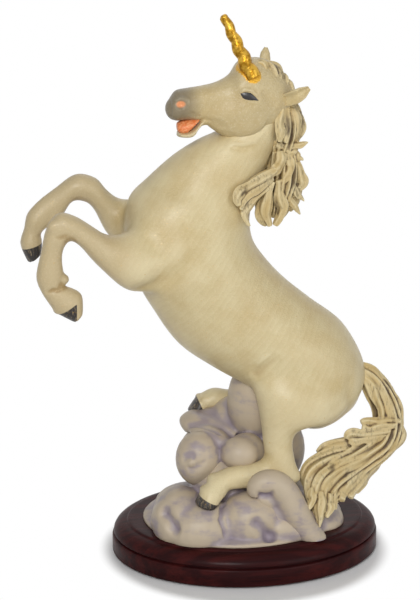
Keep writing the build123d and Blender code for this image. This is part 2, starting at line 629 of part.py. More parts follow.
def main():
    """Shapes the pieces, cuts each to fit its neighbours and writes them all."""
    os.makedirs("parts", exist_ok=True)
    trunk = centred(TRUNK_SHARES)
    rows = smoothed(trunk)
    cut = 2 * NECK_JOINT
    neck_joint, neck_above = middle(trunk[NECK_JOINT]), middle(trunk[NECK_JOINT + 1])
    poll, throat = middle(trunk[-1]), middle(trunk[-2])
    near_fore, far_fore = -FORELEG_SPREAD, FORELEG_SPREAD
    near_hind, far_hind = -HIND_LEG_SPREAD, HIND_LEG_SPREAD

    neck_peg = Peg(neck_joint, neck_above - neck_joint, NECK_DOWEL_DIAMETER, NECK_DOWEL_LENGTH)
    head_peg = Peg(throat, poll - throat, HEAD_DOWEL_DIAMETER, HEAD_DOWEL_LENGTH)
    fore_pegs = []
    hind_pegs = []
    hoof_pegs = []
    for stations, spread in ((NEAR_FORELEG_SHARES, near_fore), (FAR_FORELEG_SHARES, far_fore)):
        root, shoulder = middle(stations[1], spread), middle(stations[2], spread)
        fore_pegs.append(Peg(root, shoulder - root, LEG_DOWEL_DIAMETER, LEG_DOWEL_LENGTH))
    for stations, spread in ((NEAR_HIND_LEG_SHARES, near_hind), (FAR_HIND_LEG_SHARES, far_hind)):
        hind_pegs.append(Peg(middle(stations[2], spread), SIDEWAYS, LEG_DOWEL_DIAMETER, LEG_DOWEL_LENGTH))
        pastern, sole = middle(stations[-2], spread), middle(stations[-1], spread)
        hoof_pegs.append(Peg(sole, sole - pastern, HOOF_PIN_DIAMETER, HOOF_PIN_LENGTH))
    dock, tail_root = middle(TAIL_SHARES[0]), middle(TAIL_SHARES[1])
    tail_peg = Peg(tail_root, tail_root - dock, TAIL_DOWEL_DIAMETER, TAIL_DOWEL_LENGTH)
    cloud_pegs = []
    for side in (-1, 1):
        x = CLOUD_DOWEL_OFFSET + side * CLOUD_DOWEL_SPACING / 2
        joint = Vector(x, CLOUD_DOWEL_SETBACK, PLINTH_TOP + MOUND_HEIGHT)
        cloud_pegs.append(Peg(joint, Vector(0, 0, 1), CLOUD_DOWEL_DIAMETER, CLOUD_DOWEL_LENGTH))

    torso = limb(rows[:cut + 1], 0, TRUNK_WIDTH, BODY_SIDES)
    neck = limb(rows[cut:], 0, TRUNK_WIDTH, BODY_SIDES)
    head = limb(smoothed(HEAD_SHARES), -HEAD_TURN, HEAD_WIDTH)
    head += limb(JAW_SHARES, -HEAD_TURN, JAW_WIDTH)
    neck = without(neck, head)

    legs = {}
    for name, stations, spread, width in (
        ("near_foreleg", NEAR_FORELEG_SHARES, near_fore, FORELEG_WIDTH),
        ("far_foreleg", FAR_FORELEG_SHARES, far_fore, FORELEG_WIDTH),
        ("near_hind_leg", NEAR_HIND_LEG_SHARES, near_hind, HIND_LEG_WIDTH),
        ("far_hind_leg", FAR_HIND_LEG_SHARES, far_hind, HIND_LEG_WIDTH),
    ):
        legs[name] = without(limb(smoothed(stations), spread, width), torso)
    hind_legs = legs["near_hind_leg"], legs["far_hind_leg"]
    tail = limb(TAIL_SHARES, -TAIL_SWEEP, TAIL_WIDTH, 2 * TAIL_RIDGES, RIDGE_DEPTH_SHARE)
    tail = without(tail, torso, *hind_legs)

    near_ear = without(make_ear(NEAR_EAR_SHARES, -1), head)
    far_ear = without(make_ear(FAR_EAR_SHARES, 1), head)
    horn = make_horn()
    mane_sides = 2 * MANE_RIDGES
    forelock = limb(centred(FORELOCK_SHARES), 0, FORELOCK_WIDTH, mane_sides, RIDGE_DEPTH_SHARE)
    forelock = without(forelock, head, near_ear, far_ear, horn)
    upper_mane = limb(centred(UPPER_MANE_SHARES), 0, MANE_WIDTH, mane_sides, RIDGE_DEPTH_SHARE)
    upper_mane = without(upper_mane, head, neck, near_ear, forelock)
    lower_mane = limb(centred(LOWER_MANE_SHARES), 0, MANE_WIDTH, mane_sides, RIDGE_DEPTH_SHARE)
    lower_mane = without(lower_mane, neck, torso)
    locks = []
    for stations in LOCK_SHARES:
        lock = tendril(stations, -LOCK_SPREAD, LOCK_DIAMETER, LOCK_DIAMETER)
        locks.append(without(lock, neck, torso, upper_mane, lower_mane, *locks))

    mound = without(make_mound(), *hind_legs, tail)
    crest = without(make_crest(), mound, torso, *hind_legs, tail)
    scroll = tendril(SCROLL_SHARES, -SCROLL_DEPTH, SCROLL_WIDTH, SCROLL_THICKNESS)
    scroll = without(scroll, plinth_room(), mound, crest, *hind_legs, tail)

    save("felt_pad", oval(FELT_INSET, 0, FELT_THICKNESS))
    save("plinth", make_plinth())
    save("plinth_screws", *[place * screw_solid() for place in screw_places()])
    save("cloud_mound", bored(mound, *cloud_pegs, *hoof_pegs))
    save("cloud_crest", bored(crest, *cloud_pegs, *hoof_pegs))
    save("cloud_scroll", scroll)
    save("torso", bored(torso, neck_peg, *fore_pegs, *hind_pegs, tail_peg))
    save("neck", bored(neck, neck_peg, head_peg))
    save("head", without(bored(head, head_peg), horn_place() * horn_foot(GLUE_GAP), horn))
    save("horn", horn)
    save("near_ear", near_ear)
    save("far_ear", far_ear)
    for name, peg in zip(("near_foreleg", "far_foreleg"), fore_pegs):
        save(name, bored(legs[name], peg))
    for name, *pegs in zip(("near_hind_leg", "far_hind_leg"), hind_pegs, hoof_pegs):
        save(name, bored(legs[name], *pegs))
    save("tail", bored(tail, tail_peg))
    save("forelock", forelock)
    save("upper_mane", upper_mane)
    save("lower_mane", lower_mane)
    save("mane_locks", *locks)
    save("neck_dowel", neck_peg.solid())
    save("head_dowel", head_peg.solid())
    save("foreleg_dowels", *[peg.solid() for peg in fore_pegs])
    save("hind_leg_dowels", *[peg.solid() for peg in hind_pegs])
    save("tail_dowel", tail_peg.solid())
    save("cloud_dowels", *[peg.solid() for peg in cloud_pegs])
    save("hoof_pins", *[peg.solid() for peg in hoof_pegs])


if __name__ == "__main__":
    main()
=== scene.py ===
"""Painted wooden unicorn rearing on a bank of clouds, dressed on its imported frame.

Metres, +Z up. The unicorn looks along -X and its near side is -Y. Pixels are those of the 420 by 600
photograph, and depths that go with them are millimetres of Y.
"""
from math import cos, log, pi, radians, sin, tau

import bpy
import numpy as np
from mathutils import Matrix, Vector


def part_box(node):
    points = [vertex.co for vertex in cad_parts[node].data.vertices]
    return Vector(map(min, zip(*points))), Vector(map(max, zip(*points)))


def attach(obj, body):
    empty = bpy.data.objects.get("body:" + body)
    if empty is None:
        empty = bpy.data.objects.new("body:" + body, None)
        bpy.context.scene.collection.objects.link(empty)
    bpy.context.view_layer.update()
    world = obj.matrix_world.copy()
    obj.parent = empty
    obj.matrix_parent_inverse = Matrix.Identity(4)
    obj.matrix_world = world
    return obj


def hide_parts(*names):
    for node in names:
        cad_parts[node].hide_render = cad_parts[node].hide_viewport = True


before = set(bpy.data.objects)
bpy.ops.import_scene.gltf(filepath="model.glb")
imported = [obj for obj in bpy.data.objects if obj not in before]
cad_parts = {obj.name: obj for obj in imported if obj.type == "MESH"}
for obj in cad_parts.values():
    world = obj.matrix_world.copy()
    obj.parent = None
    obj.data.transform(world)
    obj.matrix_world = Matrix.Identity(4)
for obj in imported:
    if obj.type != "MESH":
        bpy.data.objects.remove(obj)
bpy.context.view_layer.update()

# Sizes of the figure and its plinth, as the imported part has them
MM = 0.001
FIGURE_LENGTH = 0.172
FIGURE_HEIGHT = 0.226
PLINTH_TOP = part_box("plinth")[1].z
PLINTH_HALF_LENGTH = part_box("plinth")[1].x
PLINTH_HALF_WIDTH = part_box("plinth")[1].y
PLINTH_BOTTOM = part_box("plinth")[0].z
TRUNK_WIDTH = 0.050
FORELEG_SPREAD = 0.017
FORELEG_WIDTH = 0.019
HIND_LEG_SPREAD = 0.020
HIND_LEG_WIDTH = 0.026
MOUND_LENGTH = 0.096
MOUND_WIDTH = 0.080
MOUND_OFFSET = 0.004
SIDEWAYS = np.array((0.0, 1.0, 0.0))

# The camera, set where the photograph was taken from
VIEW_AZIMUTH = radians(-10.0)
VIEW_ELEVATION = radians(16.0)
VIEW_DISTANCE = 0.9
VIEW_TARGET = Vector((-0.016, 0.0, PLINTH_TOP + 0.101))
LENS = 123.6
SENSOR = 36.0
PHOTO_WIDTH = 420
PHOTO_HEIGHT = 600
BACKWARD = Vector((
    sin(VIEW_AZIMUTH) * cos(VIEW_ELEVATION),
    -cos(VIEW_AZIMUTH) * cos(VIEW_ELEVATION),
    sin(VIEW_ELEVATION),
))
RIGHTWARD = Vector((0, 0, 1)).cross(BACKWARD).normalized()
UPWARD = BACKWARD.cross(RIGHTWARD)
EYE = VIEW_TARGET + BACKWARD * VIEW_DISTANCE
FOCAL_PIXELS = PHOTO_HEIGHT * LENS / SENSOR

# How finely the blocks are carved: voxels and rounds of smoothing
BODY_VOXEL = 0.75 * MM
HEAD_VOXEL = 0.34 * MM
EAR_VOXEL = HEAD_VOXEL / 2
HAIR_VOXEL = 0.30 * MM
TAIL_VOXEL = 0.36 * MM
CLOUD_VOXEL = 0.62 * MM
BODY_ROUNDS = 11
HEAD_ROUNDS = 10
EAR_ROUNDS = 6
HAIR_ROUNDS = 4
CLOUD_ROUNDS = 12
SMOOTHING = 0.5
# Rounds of averaging that tell a hollow from the surface around it
BODY_HOLLOWS = 40
HEAD_HOLLOWS = 30
EAR_HOLLOWS = 20
HORN_HOLLOWS = 30
HAIR_HOLLOWS = 12
CLOUD_HOLLOWS = 40
# Steps between stations, corners of the sections and the width of a seam that is closed
STEPS = 5
FINE_STEPS = 8
EAR_STEPS = 12
CORNERS = 32
SMALL_CORNERS = 24
TRUNK_CORNERS = 40
HORN_CORNERS = 48
FOOT_CORNERS = 96
PLINTH_CORNERS = 192
CORNERS_PER_RIDGE = 6
SEAM = MM / 1000
# Lines with less reach than this are thin, and keep this share of their depth at the ends
THIN_LINE = 4.2
LINE_END = 0.3
# How steeply softening falls off towards its reach
SOFT_SLOPE = 1.5

# Trunk stations: front x, front z, back x, back z and width, as shares of the figure and of the trunk's width
TRUNK_SHARES = (
    (0.250, 0.200, 0.298, 0.240, 0.30),
    (0.155, 0.178, 0.310, 0.305, 0.80),
    (0.035, 0.255, 0.255, 0.387, 1.00),
    (-0.085, 0.313, 0.170, 0.440, 0.98),
    (-0.176, 0.365, 0.098, 0.486, 0.98),
    (-0.237, 0.432, 0.050, 0.526, 1.00),
    (-0.277, 0.490, 0.017, 0.563, 1.00),
    (-0.311, 0.578, 0.006, 0.600, 0.95),
    (-0.303, 0.650, 0.010, 0.630, 0.84),
    (-0.254, 0.689, 0.020, 0.656, 0.72),
    (-0.189, 0.732, 0.040, 0.691, 0.61),
    (-0.126, 0.761, 0.064, 0.738, 0.52),
    (-0.073, 0.777, 0.084, 0.788, 0.46),
    (-0.017, 0.806, 0.094, 0.837, 0.40),
)
# Leg stations: the same, then shares of the leg's spread and width
NEAR_FORELEG_SHARES = (
    (-0.200, 0.600, -0.185, 0.510, 0.50, 0.75),
    (-0.284, 0.610, -0.241, 0.492, 0.85, 1.00),
    (-0.354, 0.602, -0.316, 0.492, 1.00, 0.95),
    (-0.403, 0.623, -0.392, 0.546, 1.00, 0.75),
    (-0.444, 0.643, -0.428, 0.581, 1.00, 0.62),
    (-0.485, 0.650, -0.452, 0.596, 1.00, 0.58),
    (-0.515, 0.621, -0.467, 0.590, 1.00, 0.52),
    (-0.529, 0.577, -0.477, 0.568, 1.00, 0.45),
    (-0.542, 0.532, -0.474, 0.531, 1.00, 0.52),
    (-0.533, 0.504, -0.476, 0.512, 1.00, 0.45),
    (-0.512, 0.476, -0.454, 0.505, 1.00, 0.50),
    (-0.493, 0.458, -0.430, 0.491, 1.00, 0.58),
    (-0.451, 0.439, -0.428, 0.457, 1.00, 0.50),
)
FAR_FORELEG_SHARES = (
    (-0.200, 0.640, -0.205, 0.545, 0.50, 0.75),
    (-0.260, 0.635, -0.290, 0.545, 0.85, 0.95),
    (-0.302, 0.632, -0.339, 0.560, 1.00, 0.80),
    (-0.340, 0.655, -0.371, 0.613, 1.00, 0.64),
    (-0.368, 0.680, -0.394, 0.633, 1.00, 0.60),
    (-0.418, 0.689, -0.429, 0.636, 1.00, 0.58),
    (-0.472, 0.663, -0.453, 0.610, 1.00, 0.50),
    (-0.515, 0.639, -0.474, 0.592, 1.00, 0.46),
    (-0.544, 0.614, -0.502, 0.583, 1.00, 0.50),
    (-0.552, 0.587, -0.510, 0.572, 1.00, 0.44),
    (-0.563, 0.556, -0.507, 0.562, 1.00, 0.54),
    (-0.544, 0.517, -0.508, 0.536, 1.00, 0.48),
)
NEAR_HIND_LEG_SHARES = (
    (0.070, 0.375, 0.235, 0.335, 0.45, 0.50),
    (-0.003, 0.315, 0.255, 0.265, 0.80, 0.92),
    (0.005, 0.270, 0.210, 0.220, 0.92, 1.00),
    (0.015, 0.227, 0.119, 0.206, 1.00, 0.72),
    (0.021, 0.186, 0.099, 0.180, 1.05, 0.50),
    (0.024, 0.153, 0.105, 0.141, 1.08, 0.46),
    (-0.010, 0.140, 0.113, 0.099, 1.10, 0.44),
    (-0.053, 0.139, -0.024, 0.094, 1.12, 0.38),
    (-0.091, 0.132, -0.066, 0.094, 1.15, 0.40),
    (-0.120, 0.120, -0.080, 0.086, 1.28, 0.36),
    (-0.142, 0.101, -0.091, 0.082, 1.34, 0.44),
    (-0.161, 0.076, -0.107, 0.065, 1.36, 0.50),
)
FAR_HIND_LEG_SHARES = (
    (0.070, 0.375, 0.235, 0.335, 0.45, 0.50),
    (-0.020, 0.325, 0.250, 0.270, 0.80, 0.90),
    (-0.010, 0.290, 0.225, 0.230, 0.92, 0.92),
    (0.045, 0.260, 0.190, 0.205, 1.00, 0.66),
    (0.070, 0.238, 0.170, 0.180, 1.00, 0.48),
    (0.045, 0.232, 0.140, 0.160, 1.00, 0.44),
    (0.015, 0.234, 0.040, 0.172, 1.00, 0.38),
    (-0.024, 0.233, -0.022, 0.184, 1.00, 0.40),
    (-0.062, 0.238, -0.056, 0.190, 1.00, 0.42),
    (-0.105, 0.222, -0.084, 0.196, 1.00, 0.38),
    (-0.122, 0.206, -0.088, 0.191, 1.00, 0.44),
    (-0.134, 0.191, -0.092, 0.186, 1.00, 0.50),
)
# Head stations: the top and the bottom as pixels, then depth and width in millimetres
HEAD_STATIONS = (
    (291, 83, 284, 116, 0.0, 15.0),
    (277, 66, 274, 126, -1.0, 21.0),
    (262, 58, 262, 133, -2.0, 24.0),
    (249, 57.5, 250, 137, -3.4, 25.0),
    (238, 61.5, 237, 139, -4.3, 23.5),
    (229.5, 74, 226, 137.5, -5.0, 20.0),
    (217, 81.5, 212, 129, -6.1, 16.5),
    (202, 85.5, 201, 121, -7.2, 14.2),
    (187, 88, 187, 119.5, -8.3, 13.6),
    (176, 90.5, 176, 120.5, -9.0, 13.4),
    (170, 98, 171, 118.5, -9.4, 10.5),
)
JAW_STATIONS = (
    (224, 112, 226, 135.5, -4.5, 15.0),
    (212, 113, 211.5, 126, -6.5, 11.0),
    (203.5, 115, 202, 125, -7.3, 9.6),
    (198, 122, 197, 129.5, -7.8, 9.2),
    (193, 127.5, 192.5, 136, -8.2, 9.4),
    (186, 131, 186, 137.2, -8.5, 9.4),
    (180, 131.5, 180.5, 136.2, -8.8, 8.4),
    (177.5, 131, 177.2, 133.5, -9.0, 5.5),
)

# Where the joined blocks are worked over until they flow into each other: pixel, depth, reach, rounds
SOFTENED = (
    (156, 258, -20, 34, 70),
    (290, 382, -20, 34, 60),
)
# The shoulder's carving is rubbed down afterwards: pixel and depth, reach and rounds
SHOULDER = (172, 250, -22)
SHOULDER_REACH = 34
SHOULDER_ROUNDS = 24
# Lumps of the legs, for ergots, pasterns and the ragged hair of the coronets:
# pixel, depth, half sizes in millimetres and lean in degrees
LEG_LUMPS = (
    (63.5, 279, -17, 2.6, 2.8, 2.3, 20),
    (56.5, 310.5, -17, 1.5, 3.2, 1.4, 0),
    (55, 227, -19, 3.6, 2.6, 3.2, 0),
    (64.5, 294, -18, 1.8, 3.0, 1.4, 30),
    (40, 228, 15, 1.8, 2.4, 2.0, 0),
    (25, 240, 16, 1.5, 3.4, 1.4, 0),
    (204, 490, -26, 2.0, 4.6, 1.6, 20),
    (211, 494, -27, 2.2, 5.0, 1.7, 10),
    (219, 495, -26, 2.0, 4.4, 1.9, 0),
    (214, 480, -23, 3.2, 4.6, 3.2, 0),
    (199, 397, 19, 1.7, 4.2, 1.5, 40),
)
# Swells (negative depth), valleys and folds of the body: pixels on the near side, then reach and depth
# in millimetres
BODY_FORMS = (
    (((150, 232), (158, 258)), 24.0, -1.5),
    (((308, 368), (326, 384)), 26.0, -1.4),
    (((143, 288), (158, 282), (178, 271), (192, 258)), 6.0, 1.7),
    (((138, 276), (156, 271), (176, 259)), 11.0, -1.3),
    (((150, 296), (170, 287), (190, 276)), 11.0, -0.6),
    (((128, 212), (159, 198), (176, 189)), 10.0, 0.6),
    (((192, 232), (206, 238)), 9.0, 0.45),
    (((257, 366), (264, 359), (272, 354)), 2.6, -0.45),
    (((257, 373), (264, 367), (273, 361)), 5.0, 0.8),
    (((350, 380), (348, 396), (334, 408)), 4.5, 0.3),
)
# Creases of the forelegs and folds under the throat, on the near side alone
LEG_FORMS = (
    (((46, 293), (53, 290.5), (61, 291)), 1.8, 0.7),
    (((53, 236), (60, 238), (67, 235)), 2.4, 0.4),
    (((137, 240), (150, 246), (164, 250)), 7.0, 0.4),
    (((233, 143.5), (243, 144.5), (254, 141.5), (265, 132)), 1.7, -0.45),
    (((230, 148), (242, 149.5), (256, 146)), 2.6, 0.35),
)

# Hoof walls: a point on the coronet, a second one, and a point on the dark side, as pixels with a depth
HOOVES = (
    ((57, 314), (71, 304), (72, 320), -17),
    ((22, 248), (43, 241), (32, 262), 17),
    ((198.5, 494), (216.8, 502), (205.7, 506.7), -27),
    ((197, 396.7), (204, 411.8), (189.7, 411), 20),
)
HOOF_REACH = 12.0
HOOF_OUTSIDE = -5.0
# The forelegs and the head have a darker wash over the cream, partly painted shade of their narrow forms
WASH_AND_SHADE_FROM = -0.046
WASH_AND_SHADE_RUN = 0.024
HEAD_WASH_AND_SHADE = 0.3
# The sole of the lifted near forefoot stays pale: two pixels of its edge and one on the dark side
LIFTED_HOOF = HOOVES[0]
SOLE_EDGE = ((76, 306), (76, 324), (66, 314), -17)

# Rounded forms added to the head: pixel, depth, half sizes in millimetres and lean in degrees
HEAD_LUMPS = (
    (244, 112, -10.5, 11.2, 4.8, 10.6, 0),
    (244, 110, 4.0, 11.2, 4.8, 10.6, 0),
    (246, 88, -9.5, 5.5, 3.0, 2.6, 20),
    (240, 84, 4.5, 5.5, 3.0, 2.6, 20),
    (180, 103, -11.5, 4.0, 2.4, 3.0, 0),
    (178, 101, -5.5, 4.0, 2.4, 3.0, 0),
    (175.5, 108.5, -9.0, 4.4, 5.6, 5.0, 0),
    (186.5, 133.6, -8.2, 4.4, 4.2, 1.5, -5),
)
# Carving of the face, as pixels on the near side: path, reach and depth in millimetres
FACE_FORMS = (
    (((249, 97),), 6.0, 0.7),
    (((206, 107), (224, 103), (236, 101)), 6.5, 0.8),
    (((190, 112), (196, 116), (201, 117)), 2.2, 0.45),
    (((202, 120), (214, 123), (226, 127)), 4.0, 0.5),
    (((181, 105),), 2.6, 1.3),
    (((175, 101), (181, 98), (188, 100), (189.5, 106)), 1.7, -0.5),
    (((240, 92.5), (245, 89.5), (252, 91), (258, 97)), 1.5, -0.55),
    (((243, 99), (250, 101.5), (258, 103)), 1.4, -0.35),
    (((262, 92), (270, 98), (276, 106)), 4.0, 0.6),
)
EYE_CORNERS = ((240.5, 93.5), (259.0, 100.8))
EYE_HALF_HEIGHT = 1.9
EYE_FULLEST = 0.42
EYE_BULGE = 0.8
EYE_RINGS = 25
HEAD_MIDDLE = -3.4

# Lining of the open mouth: pixel, half height and half width in millimetres
MOUTH_DEPTH = -8.8
MOUTH_RUN = (
    (199, 119.5, 0.4, 2.0),
    (193.5, 122.5, 1.7, 3.4),
    (187, 125.5, 2.9, 3.9),
    (181, 126.5, 2.8, 3.6),
    (176.8, 126.5, 1.6, 2.4),
)
MUZZLE = (172, 104, -9.0)
MUZZLE_REACH = 15.0
NOSTRIL = (181, 104.5)
NOSTRIL_REACH = 2.6
NOSTRIL_STRETCH = (1, 1, 1.4)

# Ears: base, middle and tip as pixels with depths, then the side they face and their size
EARS = {
    "near_ear": ((279, 102, -7.5), (295, 97, -13.0), (309.5, 88, -14.5), -1, 1.0),
    "far_ear": ((266, 70, 6.5), (265, 58, 9.5), (266, 47, 10.5), 1, 0.75),
}
# Half heights along an ear, its thickness in millimetres and how far it is scooped out
EAR_HALF_HEIGHTS = (2.2, 3.0, 3.2, 2.7, 1.0)
EAR_THICKNESS = 2.4
EAR_SCOOP = 1.35

# Horn: root and tip as pixels, the depth of the tip, then radii in millimetres and shares of them
HORN_ROOT = (249.8, 71.7)
HORN_TIP = (223.2, 14.6)
HORN_TIP_DEPTH = -6.0
HORN_BASE_RADIUS = 3.5
HORN_TIP_RADIUS = 1.9
HORN_TURNS = 3.7
HORN_GROOVE = 0.24
HORN_THROW = 0.07
HORN_SINK = 3.0
HORN_RINGS = 160
HORN_POINT = 0.35
HORN_POINT_SLOPE = 3
# The gold spreads over the forehead round the root: a run of pixels and its reach in millimetres
GILT_RUN = ((243, 65), (250, 71), (253, 75))
GILT_REACH = 4.2

# Locks of hair: depths at the root and the tip, half width in millimetres, width left at the tip,
# then pixels from root to tip
FORELOCK = (
    (-6, -10, 2.0, 0.3, ((257, 62), (263, 65), (267, 72), (269, 81), (270, 90))),
    (-5, -10, 2.3, 0.3, ((262, 62), (269, 67), (273, 75), (275, 84), (275.5, 93))),
    (-3, -9, 2.3, 0.3, ((267, 64), (274, 69.5), (278.5, 77), (280.5, 86), (281, 94))),
    (-1, -7, 2.3, 0.3, ((273, 68), (279.5, 74), (283.5, 82), (285.5, 92))),
    (-1, -5, 2.0, 0.3, ((282, 79), (287.5, 83), (291, 89), (292.5, 97))),
    (3, 2, 2.6, 0.3, ((266, 63), (276, 71), (283, 81), (288, 93))),
    (6, 6, 2.6, 0.3, ((262, 64), (272, 73), (279, 83), (285, 96))),
)
UPPER_MANE = (
    (-8, -11, 2.2, 0.4, ((281.5, 104), (279.5, 118), (280, 131), (280, 142))),
    (-7, -9, 2.2, 0.4, ((286.5, 104), (285, 118), (287, 131), (286, 143))),
    (-4, -7, 2.4, 0.4, ((290, 104), (294, 116), (296, 129), (292, 142))),
    (-1, -4, 2.4, 0.4, ((292, 103), (297.5, 113), (299.5, 124), (298.5, 134), (293, 143))),
    (-6, -8, 1.8, 0.15, ((276, 145), (287, 147), (297, 146), (303, 144), (308.5, 142))),
    (-6, -7, 1.8, 0.4, ((281, 151), (290, 152), (297, 151))),
    (3, 3, 2.6, 0.4, ((289, 103), (295, 112), (298, 125), (296, 138), (291, 147))),
    (6, 7, 2.6, 0.4, ((286, 103), (290, 115), (292, 129), (288, 145))),
    (9, 10, 2.4, 0.4, ((282, 104), (283, 117), (284, 131), (280, 146))),
)
UPPER_MANE_CORE = (
    (287, 100, 0, 2.2, 4.0),
    (288, 114, 0, 4.4, 6.5),
    (288, 130, 0, 5.0, 7.8),
    (284, 146, 0, 5.6, 8.0),
    (282, 153, 0, 5.0, 7.5),
)
LOWER_MANE = (
    (-8, -12, 2.3, 0.5, ((280, 151), (280.5, 161), (276, 169), (269, 175))),
    (-6, -9, 2.3, 0.4, ((286, 151), (289, 162), (288.5, 173), (283, 183))),
    (-4, -5, 1.7, 0.15, ((292, 152), (297.5, 156.5), (303.5, 160.5))),
    (-4, -4, 2.4, 0.5, ((293, 160), (299, 169), (301.5, 179), (300, 186), (295, 188.5))),
    (-6, -4, 2.0, 0.15, ((286, 175), (291, 185), (297.5, 193.5), (304.5, 201.5))),
    (-7, -5, 2.2, 0.15, ((282, 178), (285.5, 191), (291.5, 202.5), (300.5, 214.5))),
    (-9, -8, 2.3, 0.5, ((278.5, 180), (279.5, 194), (282, 206), (280, 216.5), (275, 225.5))),
    (-11, -10, 2.3, 0.5, ((272, 181), (268, 194), (266, 206), (266.5, 216.5), (270, 226))),
    (-9, -8, 2.2, 0.5, ((268, 192), (261.5, 203), (260, 212), (262.5, 220), (267, 225))),
    (2, 3, 2.8, 0.4, ((289, 153), (295, 166), (298, 182), (295, 199), (289, 211))),
    (5, 6, 2.8, 0.4, ((285, 153), (290, 170), (291, 190), (286, 206), (279, 219))),
    (8, 9, 2.7, 0.4, ((281, 155), (281, 172), (279, 190), (273, 207), (267, 219))),
    (10, 13, 2.4, 0.3, ((277, 159), (272, 174), (265, 190), (259, 203), (257, 212))),
)
LOWER_MANE_CORE = (
    (282, 149, 0, 5.6, 7.5),
    (282, 164, 0, 6.6, 8.5),
    (281, 181, 0, 6.6, 9.0),
    (279, 196, -1, 5.6, 8.0),
    (276, 209, -3, 3.4, 5.8),
    (274, 218, -4, 1.5, 3.0),
)
NECK_LOCKS = (
    (-12, -20, 2.5, 0.4, ((276, 170), (262, 178), (250, 185), (241, 190.5), (237, 198), (239, 206))),
    (-12, -19, 2.2, 0.3, ((273, 178), (259, 187), (249, 194.5), (243, 202), (241, 210))),
    (-12, -19, 2.0, 0.2, ((268, 188), (256, 197), (248.5, 205), (244.5, 213), (246, 221), (250, 226.5))),
)
# How the locks wave and swell, in millimetres and shares, and how many ridges they have
HAIR_RELIEF = 0.13
HAIR_SWAY = 0.28
HAIR_SWELL = 0.12
HAIR_WAVES = 1.7
HAIR_PHASE = 2.4
LOCK_ROOT = 0.6
LOCK_BELLY = 2
LOCK_FLATNESS = 0.85
LOCK_RIDGES = 5
CORE_RIDGES = 15
RIDGE_TWIST = 2.5
LOBE_TWIST = 7
# Tail: the core as pixel, depth, half height and half width, then its locks
TAIL_CORE = (
    (352, 372, -1, 4.0, 4.5),
    (364, 374, -1, 4.6, 5.0),
    (377, 386, -2, 5.0, 5.4),
    (386, 403, -4, 5.4, 5.8),
    (389, 422, -6, 6.2, 6.0),
    (382, 440, -8, 7.4, 6.0),
    (366, 454, -11, 8.2, 5.4),
    (350, 466, -14, 8.6, 5.0),
    (336, 478, -18, 8.6, 4.8),
    (326, 492, -22, 6.8, 4.4),
    (321, 506, -26, 4.4, 3.8),
    (319, 520, -30, 1.6, 2.0),
)
TAIL_LOCKS = (
    (-2, -8, 2.3, 0.6, (
        (356, 364), (369, 369.5), (378, 377), (386, 388), (393, 400), (398.5, 412), (400, 425))),
    (-5, -11, 2.4, 0.6, (
        (355, 369), (366, 374), (374, 382), (381, 393), (387, 405), (391, 416), (392, 428))),
    (-6, -11, 2.3, 0.6, ((355, 375), (364, 379), (371, 387), (376.5, 398), (380.5, 409), (382, 421))),
    (-4, -9, 2.0, 0.6, ((355, 381), (363, 384.5), (369, 391.5), (373.5, 401), (375.5, 411), (375.5, 420))),
    (3, 0, 2.8, 0.6, ((356, 369), (372, 374), (384, 387), (392, 403), (396, 424))),
    (3, 0, 2.8, 0.6, ((356, 378), (368, 383), (376, 395), (381, 415))),
    (-11, -12, 1.9, 0.5, ((401, 421.5), (387, 420), (377, 422.5), (367, 420.5), (360.5, 422))),
    (-12, -13, 2.0, 0.5, ((396, 425), (383, 426.5), (371, 429.5), (362, 427))),
    (-13, -14, 2.1, 0.6, ((390, 430), (374, 432.5), (360, 433.5), (349, 434.5), (346.5, 439))),
    (-13, -14, 2.1, 0.6, ((386, 435), (370, 438), (356, 441), (348.5, 440.5))),
    (-8, -12, 2.3, 0.5, ((401, 425), (401, 434), (397, 442), (390.5, 449.5), (383, 457.5))),
    (-10, -13, 2.3, 0.5, ((395, 429), (395, 438), (390.5, 446), (384, 453), (378, 461))),
    (-11, -14, 2.3, 0.5, ((388, 431), (387.5, 441), (382, 449), (376, 456), (373, 464))),
    (-11, -13, 2.4, 0.5, ((376, 436), (356, 440.5), (338, 442.5), (325, 447.5), (317, 452.5))),
    (-11, -20, 2.6, 0.3, (
        (378, 440), (356, 446.5), (338, 450), (322, 456.5), (309, 463.5), (303.5, 474), (304, 486))),
    (-12, -28, 2.6, 0.25, (
        (379, 443), (358, 451), (340, 456.5), (326, 462.5), (314, 470.5), (308.5, 481), (308, 494),
        (309.5, 504), (307.5, 512))),
    (-13, -33, 2.7, 0.12, (
        (380, 446), (360, 455), (344, 461.5), (330, 468.5), (321, 477), (316, 488), (315.5, 500),
        (317.5, 515), (318.5, 532))),
    (-13, -29, 2.7, 0.3, (
        (380, 449), (362, 459), (347, 466.5), (334, 474), (326, 483), (323.5, 494), (326, 507))),
    (-12, -27, 2.7, 0.4, (
        (380, 452), (364, 462.5), (351, 471), (341, 479.5), (334.5, 488.5), (333, 499), (334.5, 510))),
    (-11, -25, 2.7, 0.5, ((380, 456), (366, 466.5), (355, 476), (347, 485), (342.5, 494), (342, 500.5))),
    (-10, -23, 2.6, 0.5, ((380, 459), (368, 470), (359.5, 480), (353, 490), (350.5, 498))),
    (-8, -20, 2.2, 0.4, ((380, 461), (370, 471.5), (362.5, 482), (357, 493))),
    (-26, -33, 2.1, 0.2, ((312, 488), (312, 500), (309, 510))),
    (-27, -34, 2.2, 0.12, ((321, 492), (321.5, 508), (319.5, 528))),
    (-26, -32, 2.1, 0.3, ((329, 494), (330, 506), (327, 518))),
    (-3, -18, 3.0, 0.4, ((380, 440), (356, 449), (334, 459), (316, 473), (310, 490))),
    (-4, -20, 3.2, 0.4, ((380, 448), (358, 460), (340, 474), (329, 492))),
    (-4, -18, 3.0, 0.4, ((380, 456), (363, 469), (350, 484), (344, 496))),
)
